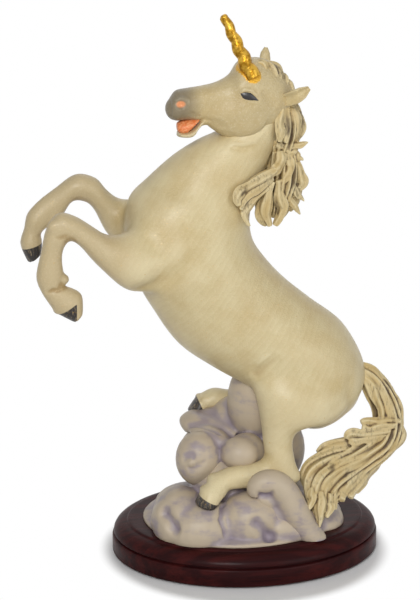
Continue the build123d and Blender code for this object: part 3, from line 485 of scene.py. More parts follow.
# Where the hair is darkest: a run of pixels with its depth and reach in millimetres
DARK_RUNS = (
    (((275, 67), (279, 77), (281, 88)), -6, 4.5),
    (((288, 120), (290, 131), (292, 142)), -9, 3.2),
    (((300, 114), (303, 126), (302, 138)), -3, 3.0),
    (((295, 168), (294, 180), (296, 188)), -8, 3.2),
    (((276, 198), (276, 212)), -9, 2.6),
    (((262, 178), (250, 186), (243, 193)), -19, 3.0),
    (((386, 383), (395, 402), (399, 416)), -6, 3.2),
    (((374, 405), (378, 416), (392, 420), (394, 430)), -9, 5.0),
    (((392, 436), (386, 446), (378, 455)), -13, 3.2),
    (((333, 466), (327, 476), (325, 486)), -22, 3.0),
    (((346, 470), (340, 482), (338, 492)), -20, 3.0),
)

# Swells of cloud: middle x, y, z, then half length, half width and half height.
# Lengths are shares of the figure's length, heights of its height and widths of the mound's width.
MOUND_SWELLS = (
    (0.018, 0.075, 0.000, 0.180, 0.350, 0.097),
    (-0.186, -0.200, 0.024, 0.075, 0.200, 0.068),
    (-0.136, -0.300, 0.020, 0.098, 0.165, 0.056),
    (-0.016, -0.325, 0.032, 0.085, 0.150, 0.058),
    (0.073, -0.300, 0.014, 0.099, 0.165, 0.046),
    (0.175, -0.130, 0.000, 0.074, 0.210, 0.036),
    (-0.070, -0.100, 0.085, 0.081, 0.165, 0.058),
    (-0.130, 0.120, 0.010, 0.100, 0.250, 0.036),
    (0.105, 0.180, 0.010, 0.120, 0.240, 0.050),
    (0.148, -0.170, 0.008, 0.080, 0.170, 0.052),
)
CREST_SWELLS = (
    (0.022, 0.030, 0.231, 0.067, 0.150, 0.084),
    (0.076, 0.050, 0.128, 0.087, 0.175, 0.080),
    (-0.131, -0.100, 0.136, 0.060, 0.125, 0.055),
    (-0.029, -0.175, 0.151, 0.051, 0.100, 0.034),
    (-0.010, -0.135, 0.149, 0.052, 0.100, 0.037),
    (-0.078, 0.000, 0.125, 0.076, 0.175, 0.055),
    (0.035, 0.260, 0.112, 0.106, 0.190, 0.078),
    (-0.015, 0.150, 0.170, 0.070, 0.160, 0.060),
    (-0.050, 0.225, 0.098, 0.110, 0.190, 0.075),
    (-0.074, 0.170, 0.166, 0.056, 0.105, 0.040),
)
# Ribbons of cloud: x, z, then y and half width as shares of the mound's width, and half height in millimetres
CREST_RIBBONS = (
    (
        (-0.156, 0.172, 0.138, 0.043, 1.9),
        (-0.148, 0.176, 0.138, 0.080, 3.8),
        (-0.127, 0.187, 0.138, 0.106, 3.6),
        (-0.097, 0.188, 0.138, 0.111, 2.9),
        (-0.070, 0.184, 0.113, 0.106, 2.7),
        (-0.049, 0.180, 0.062, 0.087, 2.5),
        (-0.028, 0.172, 0.013, 0.062, 1.5),
    ),
    (
        (-0.144, 0.176, 0.025, 0.074, 1.3),
        (-0.124, 0.180, 0.013, 0.100, 2.1),
        (-0.097, 0.177, -0.013, 0.106, 3.0),
        (-0.075, 0.169, -0.050, 0.100, 3.6),
        (-0.062, 0.160, -0.087, 0.074, 3.5),
    ),
)
SCROLL_RUN = (
    (-0.012, 0.091, -0.388, 0.039, 2.5),
    (-0.009, 0.106, -0.388, 0.057, 4.0),
    (0.005, 0.116, -0.388, 0.064, 4.8),
    (0.024, 0.118, -0.388, 0.071, 5.5),
    (0.045, 0.112, -0.388, 0.077, 6.0),
    (0.066, 0.096, -0.388, 0.080, 6.2),
    (0.082, 0.074, -0.392, 0.080, 6.2),
    (0.097, 0.050, -0.396, 0.078, 6.2),
    (0.114, 0.026, -0.400, 0.072, 5.8),
    (0.134, 0.004, -0.402, 0.072, 5.6),
    (0.152, -0.014, -0.402, 0.070, 5.4),
)
# Swells that fill the hollow of the scroll and its foot
SCROLL_SWELLS = (
    (0.028, -0.345, 0.083, 0.038, 0.078, 0.030),
    (0.062, -0.345, 0.048, 0.047, 0.082, 0.046),
    (0.100, -0.345, 0.018, 0.060, 0.082, 0.042),
)
# The flat foot of the mound: height in millimetres and size as a share
MOUND_FOOT = ((-2.0, 0.98), (0.0, 1.0), (0.9, 1.0), (1.5, 0.985), (2.6, 0.90), (5.0, 0.70), (7.0, 0.40))
# The foot is drawn in on the left and at the back
FOOT_LEFT_SHARE = 0.88
FOOT_BACK_SHARE = 0.90
# Creases of the clouds, as pixels: path, reach and depth in millimetres
MOUND_CREASES = (
    (((164, 513), (168, 519), (171, 524), (174, 529)), 4.6, 2.8),
    (((228, 495), (221.5, 507), (220.5, 520), (225, 534), (229, 544)), 1.7, 1.5),
    (((257, 524), (261, 528), (265, 532), (269, 536)), 4.4, 2.4),
    (((152, 522), (160, 506), (172, 496)), 5.0, -0.6),
)
CREST_CREASES = (
    (((183, 462), (186, 457), (191, 456), (195, 459)), 3.2, 0.9),
    (((187, 467), (192, 470), (199, 466), (206, 461)), 3.0, 0.7),
    (((190.5, 463.5),), 2.4, -0.5),
    (((190, 427), (202, 427), (216, 432), (232, 438)), 1.5, 0.6),
)
SCROLL_CREASES = (
    (((258, 491), (262, 496), (269, 496), (273, 491)), 2.6, 1.2),
)

# Plinth profile: inset and height above its underside in millimetres
PLINTH_PROFILE = (
    (1.0, 0.0),
    (0.3, 0.3),
    (0.0, 0.9),
    (0.0, 7.2),
    (0.2, 7.8),
    (0.8, 8.1),
    (1.7, 8.2),
    (1.8, 8.5),
    (1.4, 8.8),
    (0.8, 8.9),
    (0.6, 9.3),
    (0.8, 10.3),
    (1.4, 11.4),
    (2.4, 12.4),
    (3.6, 13.2),
    (4.8, 13.7),
    (6.2, 13.9),
    (6.6, 14.0),
    (6.8, 14.3),
    (7.1, 14.65),
    (7.6, 14.8),
    (9.0, 14.75),
)
PLINTH_BEVEL = 0.12 * MM
PLINTH_BEVEL_FROM = radians(28)
PLINTH_SMOOTH_TO = radians(35)


def spot(x_share, z_share, y=0.0):
    """A point of the figure from its shares of length and height."""
    return np.array((x_share * FIGURE_LENGTH, y, PLINTH_TOP + z_share * FIGURE_HEIGHT))


def sight(px, py):
    """The direction in which a pixel looks."""
    rightward = float(px - PHOTO_WIDTH / 2) / FOCAL_PIXELS * RIGHTWARD
    downward = float(py - PHOTO_HEIGHT / 2) / FOCAL_PIXELS * UPWARD
    return rightward - downward - BACKWARD


def seen(px, py, depth):
    """The point that a pixel shows at a depth."""
    ray = sight(px, py)
    return np.array(EYE + ray * ((depth * MM - EYE.y) / ray.y))


def touched(piece, px, py, mirror=None):
    """The point of a piece's surface that a pixel shows, and the normal there, or the same in a mirror."""
    eye, look = EYE.copy(), sight(px, py).normalized()
    if mirror is not None:
        eye.y = 2 * mirror - eye.y
        look.y = -look.y
    hit, place, normal, _ = piece.ray_cast(eye, look)
    if not hit:
        raise ValueError(f"pixel {px}, {py} misses {piece.name}")
    return np.array(place), np.array(normal)


def flow(rows, steps=STEPS):
    """Rows of numbers with a smooth run of steps between each two."""
    rows = np.array(rows, float)
    padded = np.vstack((2 * rows[0] - rows[1], rows, 2 * rows[-1] - rows[-2]))
    run = []
    for a, b, c, d in zip(padded, padded[1:], padded[2:], padded[3:]):
        for t in np.arange(steps) / steps:
            bend = (2 * a - 5 * b + 4 * c - d) * t**2 + (3 * b - a - 3 * c + d) * t**3
            run.append((2 * b + (c - a) * t + bend) / 2)
    return np.array(run + [rows[-1]])


def unit(direction):
    """The same direction with a length of 1."""
    return direction / np.linalg.norm(direction)


def turns(corners):
    """The angles of a section's corners."""
    return np.linspace(0, tau, corners, endpoint=False)


def ring(middle, across, out, turn, reach=1.0):
    """Corners round a middle, from a section's half sizes in two directions and the reach of each corner."""
    return middle + np.outer(np.cos(turn) * reach, across) + np.outer(np.sin(turn) * reach, out)


def heading(run, k):
    """The direction of a run of points at one of them."""
    return run[min(k + 1, len(run) - 1)] - run[max(k - 1, 0)]


def oval_ring(front, back, width, corners):
    """Corners of an oval through a front and a back point."""
    return ring((front + back) / 2, (back - front) / 2, SIDEWAYS * width / 2, turns(corners))


def clear_selection():
    """Leaves edit mode with nothing selected."""
    if bpy.context.object and bpy.context.object.mode != "OBJECT":
        bpy.ops.object.mode_set(mode="OBJECT")
    bpy.ops.object.select_all(action="DESELECT")


def take(piece):
    """Makes one piece the only one selected."""
    clear_selection()
    piece.select_set(True)
    bpy.context.view_layer.objects.active = piece


def modify(piece, kind, **settings):
    """Adds a modifier to a piece and applies it."""
    take(piece)
    modifier = piece.modifiers.new(kind, kind)
    for key, value in settings.items():
        setattr(modifier, key, value)
    bpy.ops.object.modifier_apply(modifier=modifier.name)


def skin(name, rings):
    """A grid wrapped through rings of corners, with its seam and its ends closed."""
    rings = np.array(rings)
    rings = np.concatenate((rings, rings[:, :1]), axis=1)
    rows, columns = rings.shape[:2]
    clear_selection()
    bpy.ops.mesh.primitive_grid_add(x_subdivisions=columns - 1, y_subdivisions=rows - 1)
    piece = bpy.context.object
    piece.name = name
    piece.data.vertices.foreach_set("co", rings.reshape(-1).astype(np.float32))
    bpy.ops.object.mode_set(mode="EDIT")
    bpy.ops.mesh.select_all(action="SELECT")
    bpy.ops.mesh.remove_doubles(threshold=SEAM)
    bpy.ops.mesh.fill_holes(sides=0)
    bpy.ops.mesh.select_all(action="SELECT")
    bpy.ops.mesh.normals_make_consistent(inside=False)
    bpy.ops.object.mode_set(mode="OBJECT")
    return piece


def lump(centre, half_sizes, lean=0.0):
    """A rounded lump, leaning about Y."""
    clear_selection()
    bpy.ops.mesh.primitive_uv_sphere_add(
        segments=SMALL_CORNERS, ring_count=SMALL_CORNERS // 2, radius=1,
        location=centre, rotation=(0, lean, 0), scale=half_sizes)
    bpy.ops.object.transform_apply(location=True, rotation=True, scale=True)
    return bpy.context.object


def limb(name, stations, spread, width, corners=SMALL_CORNERS):
    """A smooth limb through stations of front x, front z, back x, back z, spread share and width share."""
    rings = []
    for front_x, front_z, back_x, back_z, spread_share, width_share in flow(stations):
        y = spread * spread_share
        front, back = spot(front_x, front_z, y), spot(back_x, back_z, y)
        rings.append(oval_ring(front, back, width * width_share, corners))
    return skin(name, rings)


def fused(name, blanks, voxel, rounds):
    """Overlapping blanks made into one block with an even, smoothed surface."""
    clear_selection()
    for blank in blanks:
        blank.select_set(True)
    bpy.context.view_layer.objects.active = blanks[0]
    bpy.ops.object.join()
    piece = bpy.context.object
    piece.name = name
    piece.data.name = name
    modify(piece, "REMESH", mode="VOXEL", voxel_size=voxel)
    modify(piece, "SMOOTH", factor=SMOOTHING, iterations=rounds)
    bpy.ops.object.shade_smooth()
    return piece


def points_of(piece):
    """The places of a piece's vertices."""
    places = np.empty(3 * len(piece.data.vertices), np.float32)
    piece.data.vertices.foreach_get("co", places)
    return places.reshape(-1, 3).astype(float)


def normals_of(piece):
    """The normals of a piece's vertices."""
    normals = np.empty(3 * len(piece.data.vertices), np.float32)
    piece.data.vertex_normals.foreach_get("vector", normals)
    return normals.reshape(-1, 3).astype(float)


def move_points(piece, places):
    """Puts a piece's vertices at new places."""
    piece.data.vertices.foreach_set("co", places.reshape(-1).astype(np.float32))
    piece.data.update()


def store(piece, name, values):
    """Keeps one number for each vertex, for the finish to read."""
    attribute = piece.data.attributes.get(name) or piece.data.attributes.new(name, "FLOAT", "POINT")
    attribute.data.foreach_set("value", np.asarray(values, np.float32))


def ease(share):
    """A soft step from 0 to 1."""
    share = np.clip(share, 0, 1)
    return share * share * (3 - 2 * share)


def path_distance(places, path):
    """How far each place lies from a path of points, and at what share of the path."""
    nearest = np.linalg.norm(places - path[0], axis=1)
    share = np.full(len(places), 0.5)
    legs = len(path) - 1
    for k, (start, end) in enumerate(zip(path, path[1:])):
        run = end - start
        along = np.clip((places - start) @ run / (run @ run), 0, 1)
        distance = np.linalg.norm(places - start - np.outer(along, run), axis=1)
        closer = distance <= nearest
        nearest = np.where(closer, distance, nearest)
        share = np.where(closer, (k + along) / legs, share)
    return nearest, share


def press(piece, path, reach, depth):
    """Presses a valley along a path, or a ridge if the depth is negative. Thin ones fade to their ends."""
    places = points_of(piece)
    distance, share = path_distance(places, path)
    fade = 1.0
    if len(path) > 1 and reach < THIN_LINE:
        fade = LINE_END + (1 - LINE_END) * np.sin(pi * share) ** 0.5
    strength = ease(1 - distance / (reach * MM * fade)) * fade
    move_points(piece, places - normals_of(piece) * (strength * depth * MM)[:, None])


class Links:
    """The edges of a piece, for averages over neighbouring vertices."""

    def __init__(self, piece):
        edges = np.empty(2 * len(piece.data.edges), np.int32)
        piece.data.edges.foreach_get("vertices", edges)
        self.one, self.other = edges.reshape(-1, 2).T
        self.amount = len(piece.data.vertices)
        self.count = np.maximum(self.total(np.ones(self.amount)), 1)

    def total(self, values):
        """The sum of the neighbours' values."""
        ahead = np.bincount(self.one, values[self.other], self.amount)
        return ahead + np.bincount(self.other, values[self.one], self.amount)

    def average(self, places):
        """The middle of the neighbours' places."""
        return np.stack([self.total(axis) for axis in places.T], axis=1) / self.count[:, None]


def soften(piece, centres, reach, rounds):
    """Works the surface over round some centres, with the effect fading out at the reach."""
    places = points_of(piece)
    nearest = np.min([np.linalg.norm(places - centre, axis=1) for centre in centres], axis=0)
    weight = ease(SOFT_SLOPE * (1 - nearest / (reach * MM)))[:, None]
    links = Links(piece)
    for _ in range(rounds):
        places = places + (links.average(places) - places) * weight
    move_points(piece, places)


def store_hollows(piece, rounds):
    """Keeps how far each vertex lies below the surface around it, in millimetres."""
    places = points_of(piece)
    links = Links(piece)
    around = places
    for _ in range(rounds):
        around = links.average(around)
    store(piece, "hollow", ((around - places) * normals_of(piece)).sum(axis=1) / MM)


# Pieces

def mirrored(place):
    """A point on the other side of the figure."""
    return place * (1, -1, 1)


def form(piece, forms, mirror=0.0):
    """Swells and valleys along paths of pixels on the near side, repeated in a mirror where there is one."""
    for pixels, reach, depth in forms:
        for side in (None, mirror) if mirror is not None else (None,):
            press(piece, [touched(piece, *pixel, side)[0] for pixel in pixels], reach, depth)


def make_body():
    """Trunk, neck and legs, carved as one flowing form, with folds and hooves."""
    trunk = [(*station[:4], 0, station[4]) for station in TRUNK_SHARES]
    blanks = [
        limb("trunk", trunk, 0, TRUNK_WIDTH, TRUNK_CORNERS),
        limb("near_foreleg_blank", NEAR_FORELEG_SHARES, -FORELEG_SPREAD, FORELEG_WIDTH),
        limb("far_foreleg_blank", FAR_FORELEG_SHARES, FORELEG_SPREAD, FORELEG_WIDTH),
        limb("near_hind_blank", NEAR_HIND_LEG_SHARES, -HIND_LEG_SPREAD, HIND_LEG_WIDTH),
        limb("far_hind_blank", FAR_HIND_LEG_SHARES, HIND_LEG_SPREAD, HIND_LEG_WIDTH),
    ]
    body = fused("carved_body", blanks + lumps(LEG_LUMPS), BODY_VOXEL, BODY_ROUNDS)
    for px, py, depth, reach, rounds in SOFTENED:
        centre = seen(px, py, depth)
        soften(body, (centre, mirrored(centre)), reach, rounds)
    form(body, BODY_FORMS)
    form(body, LEG_FORMS, None)
    shoulder = seen(*SHOULDER)
    soften(body, (shoulder, mirrored(shoulder)), SHOULDER_REACH, SHOULDER_ROUNDS)
    store_hollows(body, BODY_HOLLOWS)
    store(body, "wash_and_shade", ease((WASH_AND_SHADE_FROM - points_of(body)[:, 0]) / WASH_AND_SHADE_RUN))
    store_hooves(body)
    return body


def half_space(places, edge_start, edge_end, inside, depth):
    """Signed millimetres beyond the plane through two pixels and along Y, towards the inside pixel."""
    start, end, within = (seen(*pixel, depth) for pixel in (edge_start, edge_end, inside))
    across = unit(np.cross(end - start, SIDEWAYS))
    if (within - start) @ across < 0:
        across = -across
    return (places - start) @ across / MM


def store_hooves(body):
    """Keeps how far each vertex lies inside the dark hoof walls."""
    places = points_of(body)
    inside = np.full(len(places), HOOF_OUTSIDE)
    for hoof in HOOVES:
        wall = half_space(places, *hoof)
        if hoof is LIFTED_HOOF:
            wall = np.minimum(wall, half_space(places, *SOLE_EDGE))
        *_, dark, depth = hoof
        near = HOOF_REACH - np.linalg.norm(places - seen(*dark, depth), axis=1) / MM
        inside = np.maximum(inside, np.minimum(wall, near))
    store(body, "hoof", inside)


def lumps(rows):
    """Rounded lumps from rows of pixel, depth, half sizes and lean."""
    return [
        lump(seen(px, py, depth), [size * MM for size in half_sizes], radians(lean))
        for px, py, depth, *half_sizes, lean in rows
    ]


def block(name, stations):
    """A long block of the head, through stations of top and bottom pixels, depth and width."""
    rings = []
    for top_x, top_y, bottom_x, bottom_y, depth, width in flow(stations):
        top, bottom = seen(top_x, top_y, depth), seen(bottom_x, bottom_y, depth)
        rings.append(oval_ring(top, bottom, width * MM, CORNERS))
    return skin(name, rings)


def nearness(places, centre, reach, stretch=(1, 1, 1)):
    """How near each place is to a centre, from 1 there to 0 at the reach."""
    return 1 - np.linalg.norm((places - centre) * stretch, axis=1) / (reach * MM)


def make_head():
    """Skull, jaw, cheeks, brows and muzzle, with carved eye sockets and nostrils."""
    blanks = [block("skull", HEAD_STATIONS), block("jaw", JAW_STATIONS)]
    head = fused("carved_head", blanks + lumps(HEAD_LUMPS), HEAD_VOXEL, HEAD_ROUNDS)
    nostril = touched(head, *NOSTRIL)[0]
    form(head, FACE_FORMS, HEAD_MIDDLE * MM)
    store_hollows(head, HEAD_HOLLOWS)
    places = points_of(head)
    store(head, "wash_and_shade", np.full(len(places), HEAD_WASH_AND_SHADE))
    gilt, _ = path_distance(places, [touched(head, *pixel)[0] for pixel in GILT_RUN])
    store(head, "gilt", 1 - gilt / (GILT_REACH * MM))
    store(head, "muzzle", nearness(places, seen(*MUZZLE), MUZZLE_REACH))
    store(head, "nostril", nearness(places, nostril, NOSTRIL_REACH, NOSTRIL_STRETCH))
    return head


def make_eye(name, head, mirror=None):
    """An almond eye set into its socket."""
    start, end = (touched(head, *corner, mirror)[0] for corner in EYE_CORNERS)
    out = touched(head, *[sum(pair) / 2 for pair in zip(*EYE_CORNERS)], mirror)[1]
    across = unit(np.cross(out, end - start)) * EYE_HALF_HEIGHT * MM
    rings = []
    for share in np.linspace(0, 1, EYE_RINGS):
        fullness = sin(pi * share ** (log(0.5) / log(EYE_FULLEST)))
        middle = start + (end - start) * share
        rings.append(ring(middle, fullness * across, fullness * EYE_BULGE * MM * out, turns(SMALL_CORNERS)))
    eye = skin(name, rings)
    bpy.ops.object.shade_smooth()
    return eye


def make_mouth():
    """The painted lining and tongue of the open mouth."""
    rings = []
    for px, py, half_height, half_width in flow(MOUTH_RUN):
        across, out = np.array(UPWARD) * half_height * MM, SIDEWAYS * half_width * MM
        rings.append(ring(seen(px, py, MOUTH_DEPTH), across, out, turns(SMALL_CORNERS)))
    mouth = skin("mouth_lining", rings)
    modify(mouth, "SUBSURF", levels=1, render_levels=1)
    bpy.ops.object.shade_smooth()
    return mouth


def make_ear(name):
    """A pointed ear, scooped out on its outer face."""
    *path, side, size = EARS[name]
    run = flow([seen(*point) for point in path], EAR_STEPS)
    shares = np.linspace(0, len(EAR_HALF_HEIGHTS) - 1, len(run))
    heights = size * np.interp(shares, range(len(EAR_HALF_HEIGHTS)), EAR_HALF_HEIGHTS)
    out = side * SIDEWAYS
    turn = turns(CORNERS)
    swell = np.sin(turn)
    swell = np.where(swell > 0, swell - EAR_SCOOP * swell**3, swell)
    rings = []
    for k, (middle, half_height) in enumerate(zip(run, heights)):
        across = unit(np.cross(heading(run, k), out)) * half_height * MM
        thickness = EAR_THICKNESS * half_height / max(EAR_HALF_HEIGHTS) * MM
        rings.append(middle + np.outer(np.cos(turn), across) + np.outer(swell, out * thickness))
    ear = skin(name + "_carving", rings)
    modify(ear, "REMESH", mode="VOXEL", voxel_size=EAR_VOXEL)
    modify(ear, "SMOOTH", factor=SMOOTHING, iterations=EAR_ROUNDS)
    bpy.ops.object.shade_smooth()
    store_hollows(ear, EAR_HOLLOWS)
    return ear


def make_horn(head):
    """A twisted, tapering horn whose single groove winds up from the forehead."""
    root = touched(head, *HORN_ROOT)[0]
    axis = seen(*HORN_TIP, HORN_TIP_DEPTH) - root
    length = np.linalg.norm(axis) / MM
    axis = unit(axis)
    across = unit(np.cross(SIDEWAYS, axis))
    out = np.cross(axis, across)
    turn = turns(HORN_CORNERS)
    rings = []
    for height in np.linspace(-HORN_SINK, length, HORN_RINGS):
        share = max(height, 0) / length
        radius = HORN_BASE_RADIUS + (HORN_TIP_RADIUS - HORN_BASE_RADIUS) * share
        radius *= min(1, HORN_POINT + HORN_POINT_SLOPE * (1 - share) ** 0.5)
        phase = tau * HORN_TURNS * share
        bulge = np.abs(np.cos((turn - phase) / 2)) ** 0.5
        reach = radius * (1 - HORN_GROOVE * (1 - bulge)) * MM
        throw = HORN_THROW * radius * MM
        middle = root + axis * height * MM + across * throw * cos(phase) + out * throw * sin(phase)
        rings.append(ring(middle, across, out, turn, reach))
    horn = skin("twisted_horn", rings)
    bpy.ops.object.shade_smooth()
    store_hollows(horn, HORN_HOLLOWS)
    return horn


def strand(name, run, half_heights, half_widths, ridges, phase):
    """A ridged band of hair along a run of points."""
    turn = turns(CORNERS_PER_RIDGE * ridges)
    rings = []
    for k, middle in enumerate(run):
        share = k / (len(run) - 1)
        along = heading(run, k)
        across = unit(np.cross(along, SIDEWAYS))
        out = unit(np.cross(across, along))
        relief = 1 + HAIR_RELIEF * np.cos(ridges * turn + phase + RIDGE_TWIST * share)
        relief += HAIR_RELIEF / 2 * np.cos(2 * turn + 2 * phase + LOBE_TWIST * share)
        rings.append(ring(middle, across * half_heights[k], out * half_widths[k], turn, relief))
    return skin(name, rings)


def lock(name, phase, start_depth, end_depth, half_width, tip, pixels):
    """One wavy lock of hair that narrows to its tip."""
    depths = np.linspace(start_depth, end_depth, len(pixels))
    run = flow([seen(*pixel, depth) for pixel, depth in zip(pixels, depths)], FINE_STEPS)
    share = np.linspace(0, 1, len(run))
    waves = np.sin(tau * HAIR_WAVES * share + phase) * np.sin(pi * share)
    run = run + np.outer(waves * HAIR_SWAY * MM, UPWARD) + np.outer(waves * HAIR_SWAY * MM, RIGHTWARD)
    widths = LOCK_ROOT + (tip - LOCK_ROOT) * share + LOCK_BELLY * share * (1 - share)
    widths *= half_width * MM
    widths *= 1 + HAIR_SWELL * np.sin(tau * HAIR_WAVES * share + 2 * phase)
    return strand(name, run, widths, LOCK_FLATNESS * widths, LOCK_RIDGES, phase)


def make_hair(name, locks, core=(), voxel=HAIR_VOXEL):
    """A mass of locks, carved from one block."""
    blanks = [lock(f"{name}_{k}", HAIR_PHASE * k, *row) for k, row in enumerate(locks)]
    if core:
        px, py, depths, half_heights, half_widths = flow(core).T
        run = [seen(*place) for place in zip(px, py, depths)]
        blanks.append(strand(name + "_core", run, half_heights * MM, half_widths * MM, CORE_RIDGES, 0))
    hair = fused(name, blanks, voxel, HAIR_ROUNDS)
    store_hollows(hair, HAIR_HOLLOWS)
    places = points_of(hair)
    dark = np.zeros(len(places))
    for pixels, depth, reach in DARK_RUNS:
        away, _ = path_distance(places, [seen(*pixel, depth) for pixel in pixels])
        dark = np.maximum(dark, 1 - away / (reach * MM))
    store(hair, "dark", dark)
    return hair


def settle(piece, floor):
    """Flattens what lies below a floor, so that the piece sits on it."""
    places = points_of(piece)
    places[:, 2] = np.maximum(places[:, 2], floor)
    move_points(piece, places)


def swells(rows):
    """Rounded swells of cloud."""
    blanks = []
    for x, y, z, half_length, half_width, half_height in rows:
        half_sizes = half_length * FIGURE_LENGTH, half_width * MOUND_WIDTH, half_height * FIGURE_HEIGHT
        blanks.append(lump(spot(x, z, y * MOUND_WIDTH), half_sizes))
    return blanks


def ribbon(name, rows):
    """A band of cloud with an oval section."""
    run = flow(rows, FINE_STEPS)
    middles = [spot(x, z, y * MOUND_WIDTH) for x, z, y, *_ in run]
    rings = []
    for k, (*_, half_width, half_height) in enumerate(run):
        across = unit(np.cross(heading(middles, k), SIDEWAYS)) * half_height * MM
        rings.append(ring(middles[k], across, SIDEWAYS * half_width * MOUND_WIDTH, turns(CORNERS)))
    return skin(name, rings)


def make_cloud(name, blanks, creases):
    """Swells of cloud carved from one block, flat underneath."""
    cloud = fused(name, blanks, CLOUD_VOXEL, CLOUD_ROUNDS)
    form(cloud, creases, None)
    settle(cloud, PLINTH_TOP)
    store_hollows(cloud, CLOUD_HOLLOWS)
    return cloud


def make_mound():
    """The low bank of cloud on the plinth, with a thin flat foot."""
    turn = turns(FOOT_CORNERS)
    left = np.where(np.cos(turn) < 0, FOOT_LEFT_SHARE, 1.0)
    back = np.where(np.sin(turn) > 0, FOOT_BACK_SHARE, 1.0)
    rings = []
    for height, share in MOUND_FOOT:
        x = share * left * MOUND_LENGTH / 2 * np.cos(turn) - MOUND_OFFSET
        y = share * back * MOUND_WIDTH / 2 * np.sin(turn)
        level = np.full(FOOT_CORNERS, PLINTH_TOP + height * MM)
        rings.append(np.stack((x, y, level), axis=1))
    return make_cloud("cloud_bank", [skin("foot", rings)] + swells(MOUND_SWELLS), MOUND_CREASES)


def make_crest():
    """The tall billows and the ribbons of cloud under the belly."""
    ribbons = [ribbon(f"ribbon_{k}", rows) for k, rows in enumerate(CREST_RIBBONS)]
    return make_cloud("cloud_crown", swells(CREST_SWELLS) + ribbons, CREST_CREASES)


def oval_at(inset, height):
    """The plinth's outline, drawn in and raised."""
    middle = np.array((0, 0, PLINTH_BOTTOM + height * MM))
    across = np.array((PLINTH_HALF_LENGTH - inset * MM, 0, 0))
    return ring(middle, across, SIDEWAYS * (PLINTH_HALF_WIDTH - inset * MM), turns(PLINTH_CORNERS))


def make_plinth():
    """The oval plinth with its band, groove, rounded moulding and rim."""
    plinth = skin("moulded_plinth", [oval_at(*row) for row in PLINTH_PROFILE])
    limit = {"limit_method": "ANGLE", "angle_limit": PLINTH_BEVEL_FROM}
    modify(plinth, "BEVEL", width=PLINTH_BEVEL, segments=2, **limit)
    bpy.ops.object.shade_smooth_by_angle(angle=PLINTH_SMOOTH_TO)
    return plinth


body = make_body()
head = make_head()
near_eye = make_eye("near_eye", head)
far_eye = make_eye("far_eye", head, HEAD_MIDDLE * MM)
mouth = make_mouth()
near_ear = make_ear("near_ear")
far_ear = make_ear("far_ear")
horn = make_horn(head)
forelock = make_hair("forelock_carving", FORELOCK)
upper_mane = make_hair("upper_mane_carving", UPPER_MANE, UPPER_MANE_CORE)
lower_mane = make_hair("lower_mane_carving", LOWER_MANE, LOWER_MANE_CORE)
neck_locks = make_hair("neck_lock_carving", NECK_LOCKS)
tail = make_hair("tail_carving", TAIL_LOCKS, TAIL_CORE, TAIL_VOXEL)
mound = make_mound()
crest = make_crest()
scroll = make_cloud("cloud_curl", [ribbon("curl", SCROLL_RUN)] + swells(SCROLL_SWELLS), SCROLL_CREASES)
plinth = make_plinth()


# Finishes

# The grain of the figure's blocks runs along the trunk
GRAIN_TURN = (0, radians(52), 0)
GRAIN_PITH = (0.0, 0.012, 0.0)
GRAIN_SPACING = 2.6 * MM
NOISE_ROUGHNESS = 0.55


def colour(red, green, blue):
    """A colour as the eye reads it, in 0 to 255, turned to light."""
    light = [((c / 255 + 0.055) / 1.055) ** 2.4 if c > 10 else c / 255 / 12.92 for c in (red, green, blue)]
    return (*light, 1.0)


class Field:
    """A socket of a finish that takes part in Python sums."""

    def __init__(self, finish, socket):
        self.finish = finish
        self.socket = socket

    def maths(self, operation, first, second):
        """A sum of two numbers or fields."""
        return self.finish.node("Math", {"operation": operation}, {0: first, 1: second})

    def __add__(self, other):
        return self.maths("ADD", self, other)

    def __radd__(self, other):
        return self.maths("ADD", other, self)

    def __sub__(self, other):
        return self.maths("SUBTRACT", self, other)

    def __rsub__(self, other):
        return self.maths("SUBTRACT", other, self)

    def __mul__(self, other):
        return self.maths("MULTIPLY", self, other)


